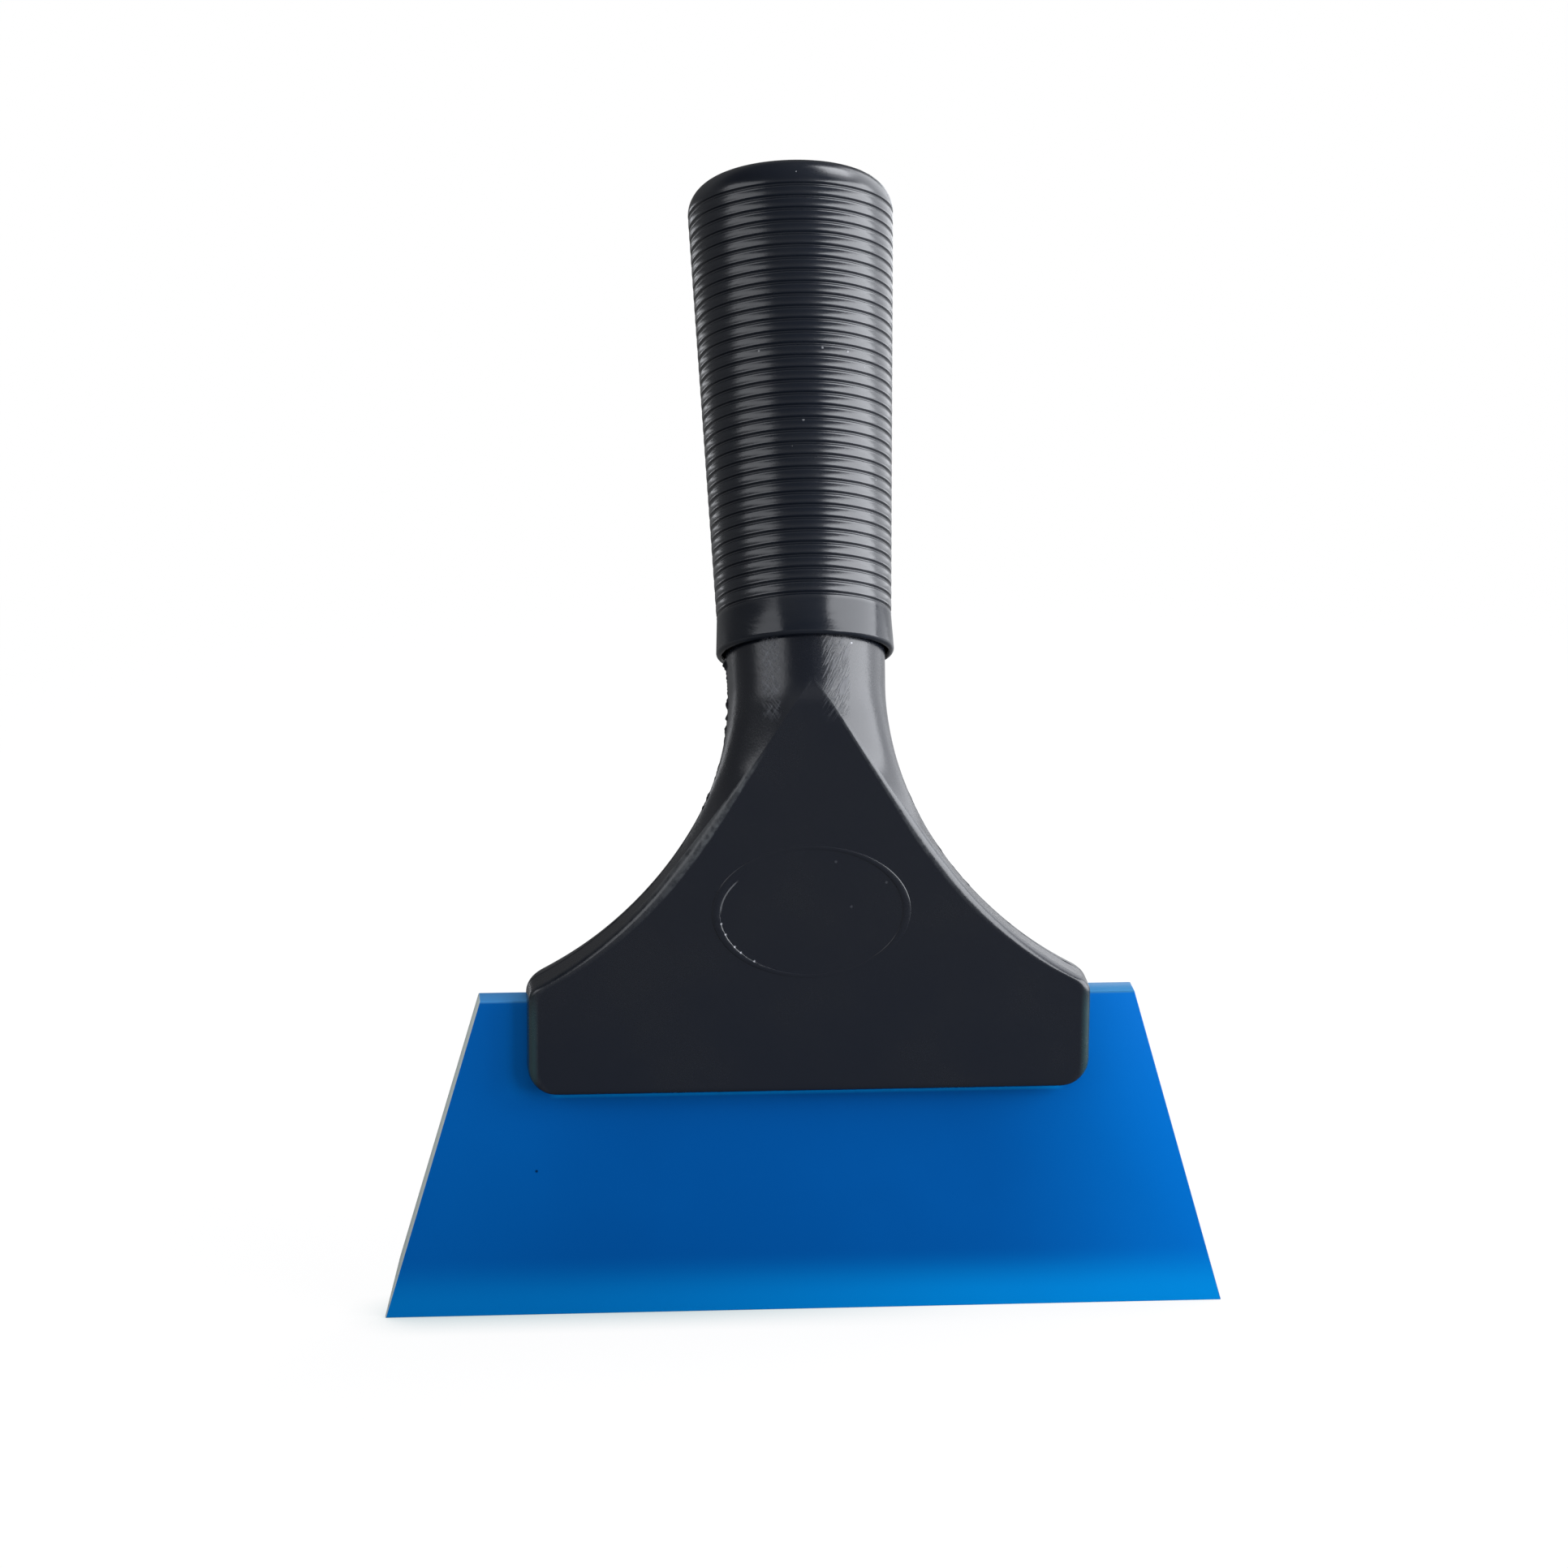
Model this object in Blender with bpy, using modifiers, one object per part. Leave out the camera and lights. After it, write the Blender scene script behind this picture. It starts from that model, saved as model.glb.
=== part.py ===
# A plastic scraper: a trapezoid blade clamped between two moulded shells,
# whose half-round stems carry a ribbed rubber grip.
# Lengths are metres and +Z is up. The blade stands on its edge and faces -Y,
# and the handle leans back towards +Y.

import math

import bmesh
import bpy
from mathutils import Matrix, Vector

mm = 0.001

# Blade
blade_edge_width = 140 * mm
blade_back_width = 108 * mm
blade_height = 54.5 * mm
blade_thickness = 5 * mm
blade_bevel_height = 9 * mm
blade_edge_thickness = 0.8 * mm

# Gaps between the pieces
seam_gap = 0.3 * mm
blade_clearance = 0.3 * mm
screw_clearance = 0.3 * mm
grip_clearance = 0.3 * mm

# Jaws
jaw_width = 92.6 * mm
jaw_grip_depth = 15.2 * mm
jaw_wall = 3.7 * mm
jaw_corner_radius = 4.6 * mm
jaw_lip_radius = 0.8 * mm
shoulder_wall = 2.4 * mm
shoulder_radius = 3 * mm

# Flare from the shoulders to the neck, seen from the front
flare_angle = math.radians(61)
flare_shoulder_pull = 19.6 * mm
flare_neck_pull = 20.9 * mm
neck_rise = 4.02 * mm
neck_radius = 12.9 * mm

# Flat front face and rounded back
face_edge_radius = 1.2 * mm
face_inset = 0.5 * mm
face_taper_height = 76 * mm
back_inset = 2.2 * mm
back_round_height = 58 * mm
face_tip_half_width = 0.8 * mm

# Raised ring on the front face
ring_width = 32.6 * mm
ring_height = 22.4 * mm
ring_bead_side = 1.2 * mm
ring_bead_top = 0.6 * mm
ring_rise = 0.3 * mm
ring_centre_height = 70 * mm

# Handle
handle_tilt = math.radians(27.4)
bend_height = 91.3 * mm
bend_radius = 40 * mm
stem_length = 83.2 * mm
stem_end_radius = 14.85 * mm
stem_end_chamfer = 1 * mm

# Hollow of the shells, with its ribs and locating pegs
shell_wall = 2.4 * mm
rib_thickness = 1.6 * mm
fan_rib_rise = 15.6 * mm
stem_rib_count = 2
peg_radius = 1.5 * mm
peg_length = 3 * mm
peg_boss_radius = 3.2 * mm
peg_boss_seat = 1.5 * mm

# Rubber grip
grip_mouth_offset = 6.4 * mm
grip_band_radius = 14.55 * mm
grip_end_radius = 17.2 * mm
grip_end_wall = 3.9 * mm
grip_shoulder_radius = 5 * mm
grip_lip_radius = 0.7 * mm
grip_band_length = 6.4 * mm
groove_pitch = 2.077 * mm
groove_width = 0.64 * mm
groove_depth = 0.4 * mm
groove_land = 0.24 * mm

# Clamp screws
screw_inset = 15.3 * mm
screw_drop = 7.6 * mm
screw_radius = 1.5 * mm
screw_tip_length = 1.6 * mm
screw_head_radius = 3 * mm
screw_head_height = 1.9 * mm
screw_head_sink = 0.2 * mm
screw_cross_width = 0.8 * mm
screw_cross_length = 3.4 * mm
screw_cross_depth = 1.2 * mm
boss_radius = 3.5 * mm
pilot_floor = 1.6 * mm

# Mesh steps
corner_steps = 5
shoulder_steps = 4
flare_steps = 15
flank_steps = 6
pocket_steps = 4
grip_segments = 28
screw_segments = 20
hole_segments = 20

# Sizes that follow from the ones above
slot_half = blade_thickness / 2 + blade_clearance
jaw_half_depth = slot_half + jaw_wall
jaw_bottom = blade_height - jaw_grip_depth
slot_top = blade_height + blade_clearance
shoulder_height = slot_top + shoulder_wall
jaw_half_width = jaw_width / 2
bend_tangent = bend_radius * math.tan(handle_tilt / 2)
bend_start = bend_height - bend_tangent
bend_end = bend_start + bend_radius * handle_tilt
neck_height = bend_end + neck_rise
stem_end = neck_height + stem_length
grip_mouth = neck_height + grip_mouth_offset
face_tip_run = (neck_radius * math.cos(handle_tilt) - jaw_half_depth) / math.sin(handle_tilt)
face_tip = bend_end + face_tip_run - bend_tangent
fan_rib = shoulder_height + fan_rib_rise
hollow_top = stem_end - shell_wall
stem_rib_pitch = (hollow_top - face_tip) / (stem_rib_count + 1)
grip_length = stem_end + grip_clearance + grip_end_wall - grip_mouth
top_groove = grip_length - grip_shoulder_radius - groove_land - groove_width / 2
groove_count = int((top_groove - grip_band_length) / groove_pitch) + 1
screw_height = blade_height - screw_drop
screw_spacing = jaw_half_width - screw_inset
side_rib_place = screw_spacing / 2
screw_places = (-screw_spacing, 0.0, screw_spacing)
screw_underside = jaw_half_depth - screw_head_sink - screw_head_height
pilot_end = -jaw_half_depth + pilot_floor
screw_length = screw_underside - pilot_end - screw_clearance


def path(distance):
    """Middle line of the handle: its Y, its Z and its lean, at a distance along it from the floor."""
    if distance <= bend_start:
        return 0.0, distance, 0.0
    lean = min((distance - bend_start) / bend_radius, handle_tilt)
    run = max(distance - bend_end, 0.0)
    y = bend_radius * (1 - math.cos(lean)) + run * math.sin(lean)
    z = bend_start + bend_radius * math.sin(lean) + run * math.cos(lean)
    return y, z, lean


def smooth_step(value, low, high):
    t = min(max((value - low) / (high - low), 0.0), 1.0)
    return t * t * (3 - 2 * t)


def bezier(t, p0, p1, p2, p3):
    s = 1 - t
    return s * s * s * p0 + 3 * s * s * t * p1 + 3 * s * t * t * p2 + t * t * t * p3


def stem_radius(distance):
    return neck_radius + (stem_end_radius - neck_radius) * (distance - neck_height) / stem_length


def outline():
    """Half widths of the moulded handle, bottom to top, each with its distance along the middle line."""
    points = []
    for step in range(corner_steps + 1):
        angle = math.pi / 2 * step / corner_steps
        width = jaw_half_width - jaw_corner_radius * (1 - math.sin(angle))
        points.append((width, jaw_bottom + jaw_corner_radius * (1 - math.cos(angle))))

    tangent = shoulder_radius * math.tan(flare_angle / 2)
    for step in range(shoulder_steps + 1):
        angle = flare_angle * step / shoulder_steps
        width = jaw_half_width - shoulder_radius * (1 - math.cos(angle))
        points.append((width, shoulder_height - tangent + shoulder_radius * math.sin(angle)))

    direction = Vector((-math.sin(flare_angle), math.cos(flare_angle)))
    corner = Vector((jaw_half_width, shoulder_height))
    neck = Vector((neck_radius, neck_height))
    curve = (corner + direction * tangent, corner + direction * flare_shoulder_pull,
             neck - Vector((0, flare_neck_pull)), neck)
    for step in range(1, flare_steps + 1):
        points.append(tuple(bezier(step / flare_steps, *curve)))

    points.append((stem_radius(grip_mouth), grip_mouth))
    points.append((stem_radius(stem_end - stem_end_chamfer), stem_end - stem_end_chamfer))
    points.append((stem_radius(stem_end) - stem_end_chamfer, stem_end))
    return points


def lip_rounding(distance):
    """How far the jaw's faces draw in beside its lower edge."""
    rise = distance - jaw_bottom
    if rise >= jaw_lip_radius:
        return 0.0
    return jaw_lip_radius - math.sqrt(rise * (2 * jaw_lip_radius - rise))


def front_shape(width, distance):
    """Half width and depth of the flat front face where a section is taken."""
    if distance >= face_tip:
        return face_tip_half_width, math.sqrt(width ** 2 - face_tip_half_width ** 2)
    y, _, lean = path(distance)
    taper = max(distance - face_taper_height, 0.0) / (face_tip - face_taper_height)
    inset = face_inset + (neck_radius - face_inset) * taper ** 2
    depth = (y + jaw_half_depth) / math.cos(lean) - lip_rounding(distance)
    return max(width - inset, face_tip_half_width), depth


def back_shape(width, distance):
    """The same for the back, which swells from the flat jaw into the round neck."""
    if distance >= face_tip:
        return face_tip_half_width, math.sqrt(width ** 2 - face_tip_half_width ** 2)
    roundness = smooth_step(distance, back_round_height, face_tip)
    flat = (width - back_inset) * (1 - roundness)
    depth = jaw_half_depth + (neck_radius - jaw_half_depth) * roundness
    return max(flat, face_tip_half_width), depth - lip_rounding(distance)


def quarter(width, flat, depth):
    """From the seam round the flank to the flat: points (x, depth) of one side of a section.
    The flank is an elliptic arc about the middle line, and its edge with the flat is rounded."""
    edge_angle = math.acos(flat / width)
    reach = depth / math.sin(edge_angle)
    slope = math.atan2(reach * math.cos(edge_angle), width * math.sin(edge_angle))
    trim = max(face_edge_radius * math.tan((math.pi / 2 - slope) / 2), face_tip_half_width / 2)
    trim = min(trim, depth / 3, flat / 2)
    speed = math.hypot(width * math.sin(edge_angle), reach * math.cos(edge_angle))
    last_angle = edge_angle - trim / speed
    first_angle = math.asin(seam_gap / 2 / reach)

    points = []
    for step in range(flank_steps + 1):
        angle = first_angle + (last_angle - first_angle) * step / flank_steps
        points.append((width * math.cos(angle), reach * math.sin(angle)))
    side_x, side_depth = points[-1]
    middle = ((side_x + 2 * flat + flat - trim) / 4, (side_depth + 3 * depth) / 4)
    return points + [middle, (flat - trim, depth)]


def in_space(section, distance, side):
    """A section set square to the middle line. Side is -1 for the front shell and 1 for the back."""
    y, z, lean = path(distance)
    return [Vector((x, y + side * d * math.cos(lean), z - side * d * math.sin(lean)))
            for x, d in section]


def half_section(width, distance, shape, side):
    """One shell's section: a quarter and its mirror image."""
    flat, depth = shape(width, distance)
    right = quarter(width, flat, depth)
    left = [(-x, d) for x, d in reversed(right)]
    return in_space(right + left, distance, side)


def width_at(points, distance):
    """Half width of the outline at any distance along the middle line."""
    for (low_width, low), (high_width, high) in zip(points, points[1:]):
        if distance <= high:
            return low_width + (high_width - low_width) * (distance - low) / (high - low)
    return points[-1][0]


def surface_depth(x, width, flat, depth):
    """Depth of a section at a distance from its middle: level over the flat, then the flank's arc."""
    if x <= flat:
        return depth
    reach = depth / math.sin(math.acos(flat / width))
    return reach * math.sqrt(max(1 - (x / width) ** 2, 0.0))


def pocket_section(distance, inner, outer, shape, side, mirror):
    """A section of one pocket in a shell, open past the seam. It runs from one rib to the next,
    or to where it leaves the wall's thickness inside the outline."""
    points = outline()
    width = width_at(points, distance)
    flat, depth = shape(width, distance)
    reach = width
    for angle in range(-80, 81, 10):
        away = math.radians(angle)
        beside = width_at(points, distance + shell_wall * math.sin(away))
        reach = min(reach, beside - shell_wall * math.cos(away))
    far = min(outer, reach)

    section = [(inner, -seam_gap), (far, -seam_gap)]
    for step in range(pocket_steps + 1):
        x = inner + (far - inner) * math.cos(math.pi / 2 * step / pocket_steps)
        section.append((x, surface_depth(x, reach, flat * reach / width, depth - shell_wall)))
    return in_space([(mirror * x, d) for x, d in section], distance, side)


def new_object(name, mesh, collection):
    obj = bpy.data.objects.new(name, mesh)
    collection.objects.link(obj)
    return obj


def loft(name, solids, collection):
    """Closed solids, each through sections with equal numbers of points, in one mesh of flat
    triangles that cuts cleanly."""
    bm = bmesh.new()
    for sections in solids:
        rings = [[bm.verts.new(point) for point in section] for section in sections]
        count = len(rings[0])
        for lower, upper in zip(rings, rings[1:]):
            for i in range(count):
                j = (i + 1) % count
                bm.faces.new((lower[i], lower[j], upper[j], upper[i]))
        bm.faces.new(rings[0])
        bm.faces.new(rings[-1])
    bmesh.ops.triangulate(bm, faces=bm.faces[:])
    bmesh.ops.recalc_face_normals(bm, faces=bm.faces[:])
    mesh = bpy.data.meshes.new(name)
    bm.to_mesh(mesh)
    bm.free()
    return new_object(name, mesh, collection)


def box(name, low, high, collection):
    """An upright box between two corners."""
    bm = bmesh.new()
    low, high = Vector(low), Vector(high)
    size = Matrix.Diagonal((*(high - low), 1))
    bmesh.ops.create_cube(bm, size=1, matrix=Matrix.Translation((low + high) / 2) @ size)
    mesh = bpy.data.meshes.new(name)
    bm.to_mesh(mesh)
    bm.free()
    return new_object(name, mesh, collection)


def rod(name, x, z, front, back, radius, collection):
    """A round rod along Y, from its front end to its back end."""
    bm = bmesh.new()
    turn = Matrix.Rotation(math.pi / 2, 4, "X")
    place = Matrix.Translation((x, (front + back) / 2, z)) @ turn
    bmesh.ops.create_cone(bm, cap_ends=True, segments=hole_segments, radius1=radius, radius2=radius,
                          depth=back - front, matrix=place)
    mesh = bpy.data.meshes.new(name)
    bm.to_mesh(mesh)
    bm.free()
    return new_object(name, mesh, collection)


def turned(name, profile, segments, collection):
    """A solid of revolution about its own Z, from a profile that runs down its outer side."""
    mesh = bpy.data.meshes.new(name)
    points = [(radius, 0, height) for radius, height in profile]
    mesh.from_pydata(points, [(i, i + 1) for i in range(len(points) - 1)], [])
    obj = new_object(name, mesh, collection)
    screw = obj.modifiers.new("turn", "SCREW")
    screw.steps = segments
    screw.render_steps = segments
    screw.use_merge_vertices = True
    screw.merge_threshold = 0.00001
    return obj


def combine(obj, tool, operation):
    """A live Boolean with a tool that is only a guide."""
    tool.hide_render = True
    tool.display_type = "WIRE"
    modifier = obj.modifiers.new(tool.name, "BOOLEAN")
    modifier.operation = operation
    modifier.object = tool


def finish(obj, name, color, roughness, metallic=0.0, smooth_angle=30):
    material = bpy.data.materials.new(name)
    material.use_nodes = True
    surface = material.node_tree.nodes["Principled BSDF"]
    surface.inputs["Base Color"].default_value = (*color, 1)
    surface.inputs["Roughness"].default_value = roughness
    surface.inputs["Metallic"].default_value = metallic
    obj.data.materials.append(material)
    if obj.data.polygons:
        obj.data.shade_smooth()
        obj.data.set_sharp_from_angle(angle=math.radians(smooth_angle))


def make_shell(name, shape, side, parts, cutters):
    """A half of the handle, with its half of the slot for the blade, its pockets and two bosses."""
    sections = [half_section(width, distance, shape, side) for width, distance in outline()]
    shell = loft(name, [sections], parts)
    slot = box(name + "_slot", (-jaw_width, -slot_half, 0), (jaw_width, slot_half, slot_top), cutters)
    combine(shell, slot, "DIFFERENCE")
    combine(shell, make_pockets(name + "_pockets", shape, side, cutters), "DIFFERENCE")
    _, face_depth = shape(width_at(outline(), fan_rib), fan_rib)
    ends = sorted((side * seam_gap, side * (face_depth - peg_boss_seat)))
    for label, x in (("left", -side_rib_place), ("right", side_rib_place)):
        boss = rod(f"{name}_{label}_peg_boss", x, fan_rib, *ends, peg_boss_radius, cutters)
        combine(shell, boss, "UNION")
    finish(shell, name, (0.014, 0.016, 0.020), 0.38)
    return shell


def make_pockets(name, shape, side, cutters):
    """The spaces inside a shell, with ribs left standing between them."""
    half = rib_thickness / 2
    ribs = [face_tip + number * stem_rib_pitch for number in range(stem_rib_count + 1)]
    fields = [(shoulder_height, fan_rib - half, half, side_rib_place - half, 3),
              (shoulder_height, fan_rib - half, side_rib_place + half, jaw_half_width, 3),
              (fan_rib + half, face_tip - half, half, jaw_half_width, 5)]
    for low, high in zip(ribs, ribs[1:] + [hollow_top + half]):
        fields.append((low + half, high - half, half, jaw_half_width, 1))

    pockets = []
    for low, high, inner, outer, steps in fields:
        places = [low + (high - low) * step / steps for step in range(steps + 1)]
        for mirror in (-1, 1):
            pockets.append([pocket_section(distance, inner, outer, shape, side, mirror)
                            for distance in places])
    return loft(name, pockets, cutters)


def make_front_shell(parts, cutters):
    shell = make_shell("front_shell", front_shape, -1, parts, cutters)
    for label, x in (("left", -side_rib_place), ("right", side_rib_place)):
        peg = rod(f"{label}_peg", x, fan_rib, -peg_length, peg_length, peg_radius, cutters)
        combine(shell, peg, "UNION")
    for number, x in enumerate(screw_places, 1):
        boss = rod(f"boss_{number}", x, screw_height, -slot_half - jaw_wall / 2,
                   slot_half - blade_clearance, boss_radius, cutters)
        combine(shell, boss, "UNION")
        pilot = rod(f"pilot_{number}", x, screw_height, pilot_end, slot_half,
                    screw_radius + screw_clearance, cutters)
        combine(shell, pilot, "DIFFERENCE")
    combine(shell, make_ring(cutters), "UNION")
    return shell


def make_ring(cutters):
    """The thin oval bead on the front face, half sunk so that it joins the face."""
    curve = bpy.data.curves.new("face_ring", "CURVE")
    curve.dimensions = "2D"
    curve.fill_mode = "BOTH"
    curve.extrude = ring_rise
    for inset_x, inset_z in ((0, 0), (ring_bead_side, ring_bead_top)):
        spline = curve.splines.new("POLY")
        steps = 2 * hole_segments
        spline.points.add(steps - 1)
        spline.use_cyclic_u = True
        for step, point in enumerate(spline.points):
            angle = 2 * math.pi * step / steps
            point.co = ((ring_width / 2 - inset_x) * math.cos(angle),
                        (ring_height / 2 - inset_z) * math.sin(angle), 0, 1)
    flat = new_object("face_ring_outline", curve, cutters)
    flat.matrix_world = (Matrix.Translation((0, -jaw_half_depth, ring_centre_height))
                         @ Matrix.Rotation(math.pi / 2, 4, "X"))
    bpy.context.view_layer.update()
    mesh = bpy.data.meshes.new_from_object(flat.evaluated_get(bpy.context.evaluated_depsgraph_get()))
    bm = bmesh.new()
    bm.from_mesh(mesh)
    bmesh.ops.remove_doubles(bm, verts=bm.verts[:], dist=0.00001)
    bmesh.ops.recalc_face_normals(bm, faces=bm.faces[:])
    bm.to_mesh(mesh)
    bm.free()
    ring = new_object("face_ring", mesh, cutters)
    ring.matrix_world = flat.matrix_world.copy()
    bpy.data.objects.remove(flat)
    return ring


def make_back_shell(parts, cutters):
    shell = make_shell("back_shell", back_shape, 1, parts, cutters)
    for label, x in (("left", -side_rib_place), ("right", side_rib_place)):
        socket = rod(f"{label}_peg_socket", x, fan_rib, 0, peg_length + seam_gap,
                     peg_radius + seam_gap, cutters)
        combine(shell, socket, "DIFFERENCE")
    head_floor = screw_underside - screw_clearance
    for number, x in enumerate(screw_places, 1):
        hole = rod(f"screw_hole_{number}", x, screw_height, 0, jaw_half_depth + jaw_wall,
                   screw_radius + screw_clearance, cutters)
        combine(shell, hole, "DIFFERENCE")
        seat = rod(f"screw_seat_{number}", x, screw_height, head_floor, jaw_half_depth + jaw_wall,
                   screw_head_radius + screw_clearance, cutters)
        combine(shell, seat, "DIFFERENCE")
    return shell


def make_blade(parts, cutters):
    """A trapezoid with slanted ends, bevelled on its back down to a thin edge."""
    bm = bmesh.new()
    size = Matrix.Diagonal((blade_edge_width, blade_thickness, blade_height, 1))
    bmesh.ops.create_cube(bm, size=1, matrix=Matrix.Translation((0, 0, blade_height / 2)) @ size)

    slant = (blade_edge_width - blade_back_width) / 2
    bevel = blade_thickness - blade_edge_thickness
    edge_back = blade_edge_thickness - blade_thickness / 2
    cuts = [((blade_edge_width / 2, 0, 0), (blade_height, 0, slant)),
            ((-blade_edge_width / 2, 0, 0), (-blade_height, 0, slant)),
            ((0, edge_back, 0), (0, blade_bevel_height, -bevel))]
    for place, normal in cuts:
        geometry = bm.verts[:] + bm.edges[:] + bm.faces[:]
        bmesh.ops.bisect_plane(bm, geom=geometry, plane_co=place, plane_no=normal,
                               clear_outer=True, dist=0.000001)
        bmesh.ops.holes_fill(bm, edges=[edge for edge in bm.edges if edge.is_boundary])
    bmesh.ops.recalc_face_normals(bm, faces=bm.faces[:])
    mesh = bpy.data.meshes.new("blade")
    bm.to_mesh(mesh)
    bm.free()
    blade = new_object("blade", mesh, parts)
    for number, x in enumerate(screw_places, 1):
        hole = rod(f"blade_hole_{number}", x, screw_height, -blade_thickness, blade_thickness,
                   boss_radius + screw_clearance, cutters)
        combine(blade, hole, "DIFFERENCE")
    finish(blade, "blade", (0.0, 0.085, 0.34), 0.35)
    return blade


def grip_radius(height):
    """Outer radius at the crest of the ribs: a plain band, then a steady taper."""
    share = min(max((height - grip_band_length) / (top_groove - grip_band_length), 0.0), 1.0)
    return grip_band_radius + (grip_end_radius - grip_band_radius) * share


def grip_profile():
    """From the middle of the closed end down the ribs, round the lip and back up the bore."""
    stem_rise = stem_end - grip_mouth
    bore_top = stem_rise + grip_clearance
    points = [(0, grip_length)]
    for step in range(corner_steps + 1):
        angle = math.pi / 2 * step / corner_steps
        points.append((grip_end_radius - grip_shoulder_radius * (1 - math.sin(angle)),
                       grip_length - grip_shoulder_radius * (1 - math.cos(angle))))
    for number in range(groove_count):
        height = top_groove - number * groove_pitch
        points.append((grip_radius(height + groove_width / 2), height + groove_width / 2))
        points.append((grip_radius(height) - groove_depth, height))
        points.append((grip_radius(height - groove_width / 2), height - groove_width / 2))
    mouth_bore = stem_radius(grip_mouth) + grip_clearance
    lip = min(grip_lip_radius, (grip_band_radius - mouth_bore) / 2)
    for step in range(corner_steps):
        angle = math.pi / 2 * step / (corner_steps - 1)
        points.append((grip_band_radius - lip * (1 - math.cos(angle)), lip * (1 - math.sin(angle))))
    points.append((mouth_bore, 0))
    chamfer = stem_end_chamfer
    points.append((stem_radius(stem_end - chamfer) + grip_clearance, stem_rise - chamfer))
    points.append((stem_radius(stem_end) - chamfer + grip_clearance, bore_top))
    points.append((0, bore_top))
    return points


def make_grip(parts):
    grip = turned("grip_sleeve", grip_profile(), grip_segments, parts)
    y, z, lean = path(grip_mouth)
    grip.location = (0, y, z)
    grip.rotation_euler = (-lean, 0, 0)
    finish(grip, "grip_sleeve", (0.016, 0.018, 0.022), 0.45)
    return grip


def screw_profile():
    """From the crown of the head down to the tip, with the head's underside at height 0."""
    crown = screw_head_height
    shaft = screw_length - screw_tip_length
    return [(0, crown), (screw_head_radius * 0.6, crown * 0.97), (screw_head_radius * 0.9, crown * 0.75),
            (screw_head_radius, crown * 0.4), (screw_head_radius, 0), (screw_radius, 0),
            (screw_radius, -shaft), (screw_radius * 0.25, -screw_length), (0, -screw_length)]


def make_screw(name, x, parts, cutters):
    screw = turned(name, screw_profile(), screw_segments, parts)
    screw.location = (x, screw_underside, screw_height)
    screw.rotation_euler = (-math.pi / 2, 0, 0)
    floor = screw_underside + screw_head_height - screw_cross_depth
    above = screw_underside + 2 * screw_head_height
    wide, narrow = screw_cross_length / 2, screw_cross_width / 2
    for label, half_x, half_z in (("flat", wide, narrow), ("upright", narrow, wide)):
        recess = box(f"{name}_{label}", (x - half_x, floor, screw_height - half_z),
                     (x + half_x, above, screw_height + half_z), cutters)
        combine(screw, recess, "DIFFERENCE")
    finish(screw, name, (0.55, 0.55, 0.56), 0.3, metallic=1.0)
    return screw


def centre_over_footprint(parts, frame):
    """Moves the whole scraper so that the origin lies under the middle of its bounding box."""
    bpy.context.view_layer.update()
    graph = bpy.context.evaluated_depsgraph_get()
    depths = []
    for part in parts.objects:
        solid = part.evaluated_get(graph)
        depths += [(part.matrix_world @ vertex.co).y for vertex in solid.data.vertices]
    frame.location.y = -(min(depths) + max(depths)) / 2


def main():
    for obj in list(bpy.data.objects):
        bpy.data.objects.remove(obj, do_unlink=True)
    parts = bpy.data.collections.new("plastic_scraper")
    cutters = bpy.data.collections.new("cutters")
    bpy.context.scene.collection.children.link(parts)
    bpy.context.scene.collection.children.link(cutters)

    make_front_shell(parts, cutters)
    make_back_shell(parts, cutters)
    make_blade(parts, cutters)
    make_grip(parts)
    for name, x in zip(("left", "middle", "right"), screw_places):
        make_screw("clamp_screw_" + name, x, parts, cutters)

    frame = bpy.data.objects.new("scraper_frame", None)
    bpy.context.scene.collection.objects.link(frame)
    for obj in list(parts.objects) + list(cutters.objects):
        obj.parent = frame
    centre_over_footprint(parts, frame)


main()
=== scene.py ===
# Looks of a plastic scraper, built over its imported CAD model.
# Lengths are metres. The scraper stands on the edge of its blade, and its flat front faces -Y.
import bmesh, bpy, math
from mathutils import Matrix, Vector, noise


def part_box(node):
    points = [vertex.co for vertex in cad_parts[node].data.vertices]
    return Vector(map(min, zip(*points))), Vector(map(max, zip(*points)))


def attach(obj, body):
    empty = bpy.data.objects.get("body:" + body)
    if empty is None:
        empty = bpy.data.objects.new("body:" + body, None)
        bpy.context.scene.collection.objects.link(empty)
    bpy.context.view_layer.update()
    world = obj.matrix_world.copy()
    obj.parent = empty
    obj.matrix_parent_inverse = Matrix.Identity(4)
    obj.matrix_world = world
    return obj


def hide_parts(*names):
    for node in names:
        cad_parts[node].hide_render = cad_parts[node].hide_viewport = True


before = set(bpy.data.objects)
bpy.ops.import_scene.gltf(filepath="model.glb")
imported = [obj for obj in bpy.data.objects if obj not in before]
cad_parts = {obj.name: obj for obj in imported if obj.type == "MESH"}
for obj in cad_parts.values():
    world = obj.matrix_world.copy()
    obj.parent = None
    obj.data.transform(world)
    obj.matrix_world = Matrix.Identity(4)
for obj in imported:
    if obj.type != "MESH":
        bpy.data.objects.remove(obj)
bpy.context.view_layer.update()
mm = 0.001
mergeGap = 0.008 * mm  # vertices closer than this become one
middleY = (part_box("blade")[0].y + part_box("blade")[1].y) / 2  # middle of the blade's thickness


# Editing a piece

def deselectAll():
    if bpy.context.object and bpy.context.object.mode == "EDIT":
        bpy.ops.object.mode_set(mode="OBJECT")
    bpy.ops.object.select_all(action="DESELECT")


def activate(piece, others=()):
    deselectAll()
    for item in (*others, piece):
        item.select_set(True)
    bpy.context.view_layer.objects.active = piece


def openForEdit(piece):
    activate(piece)
    bpy.ops.object.mode_set(mode="EDIT")


def smoothBelow(angle):
    bpy.ops.object.shade_smooth_by_angle(angle=math.radians(angle))


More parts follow.
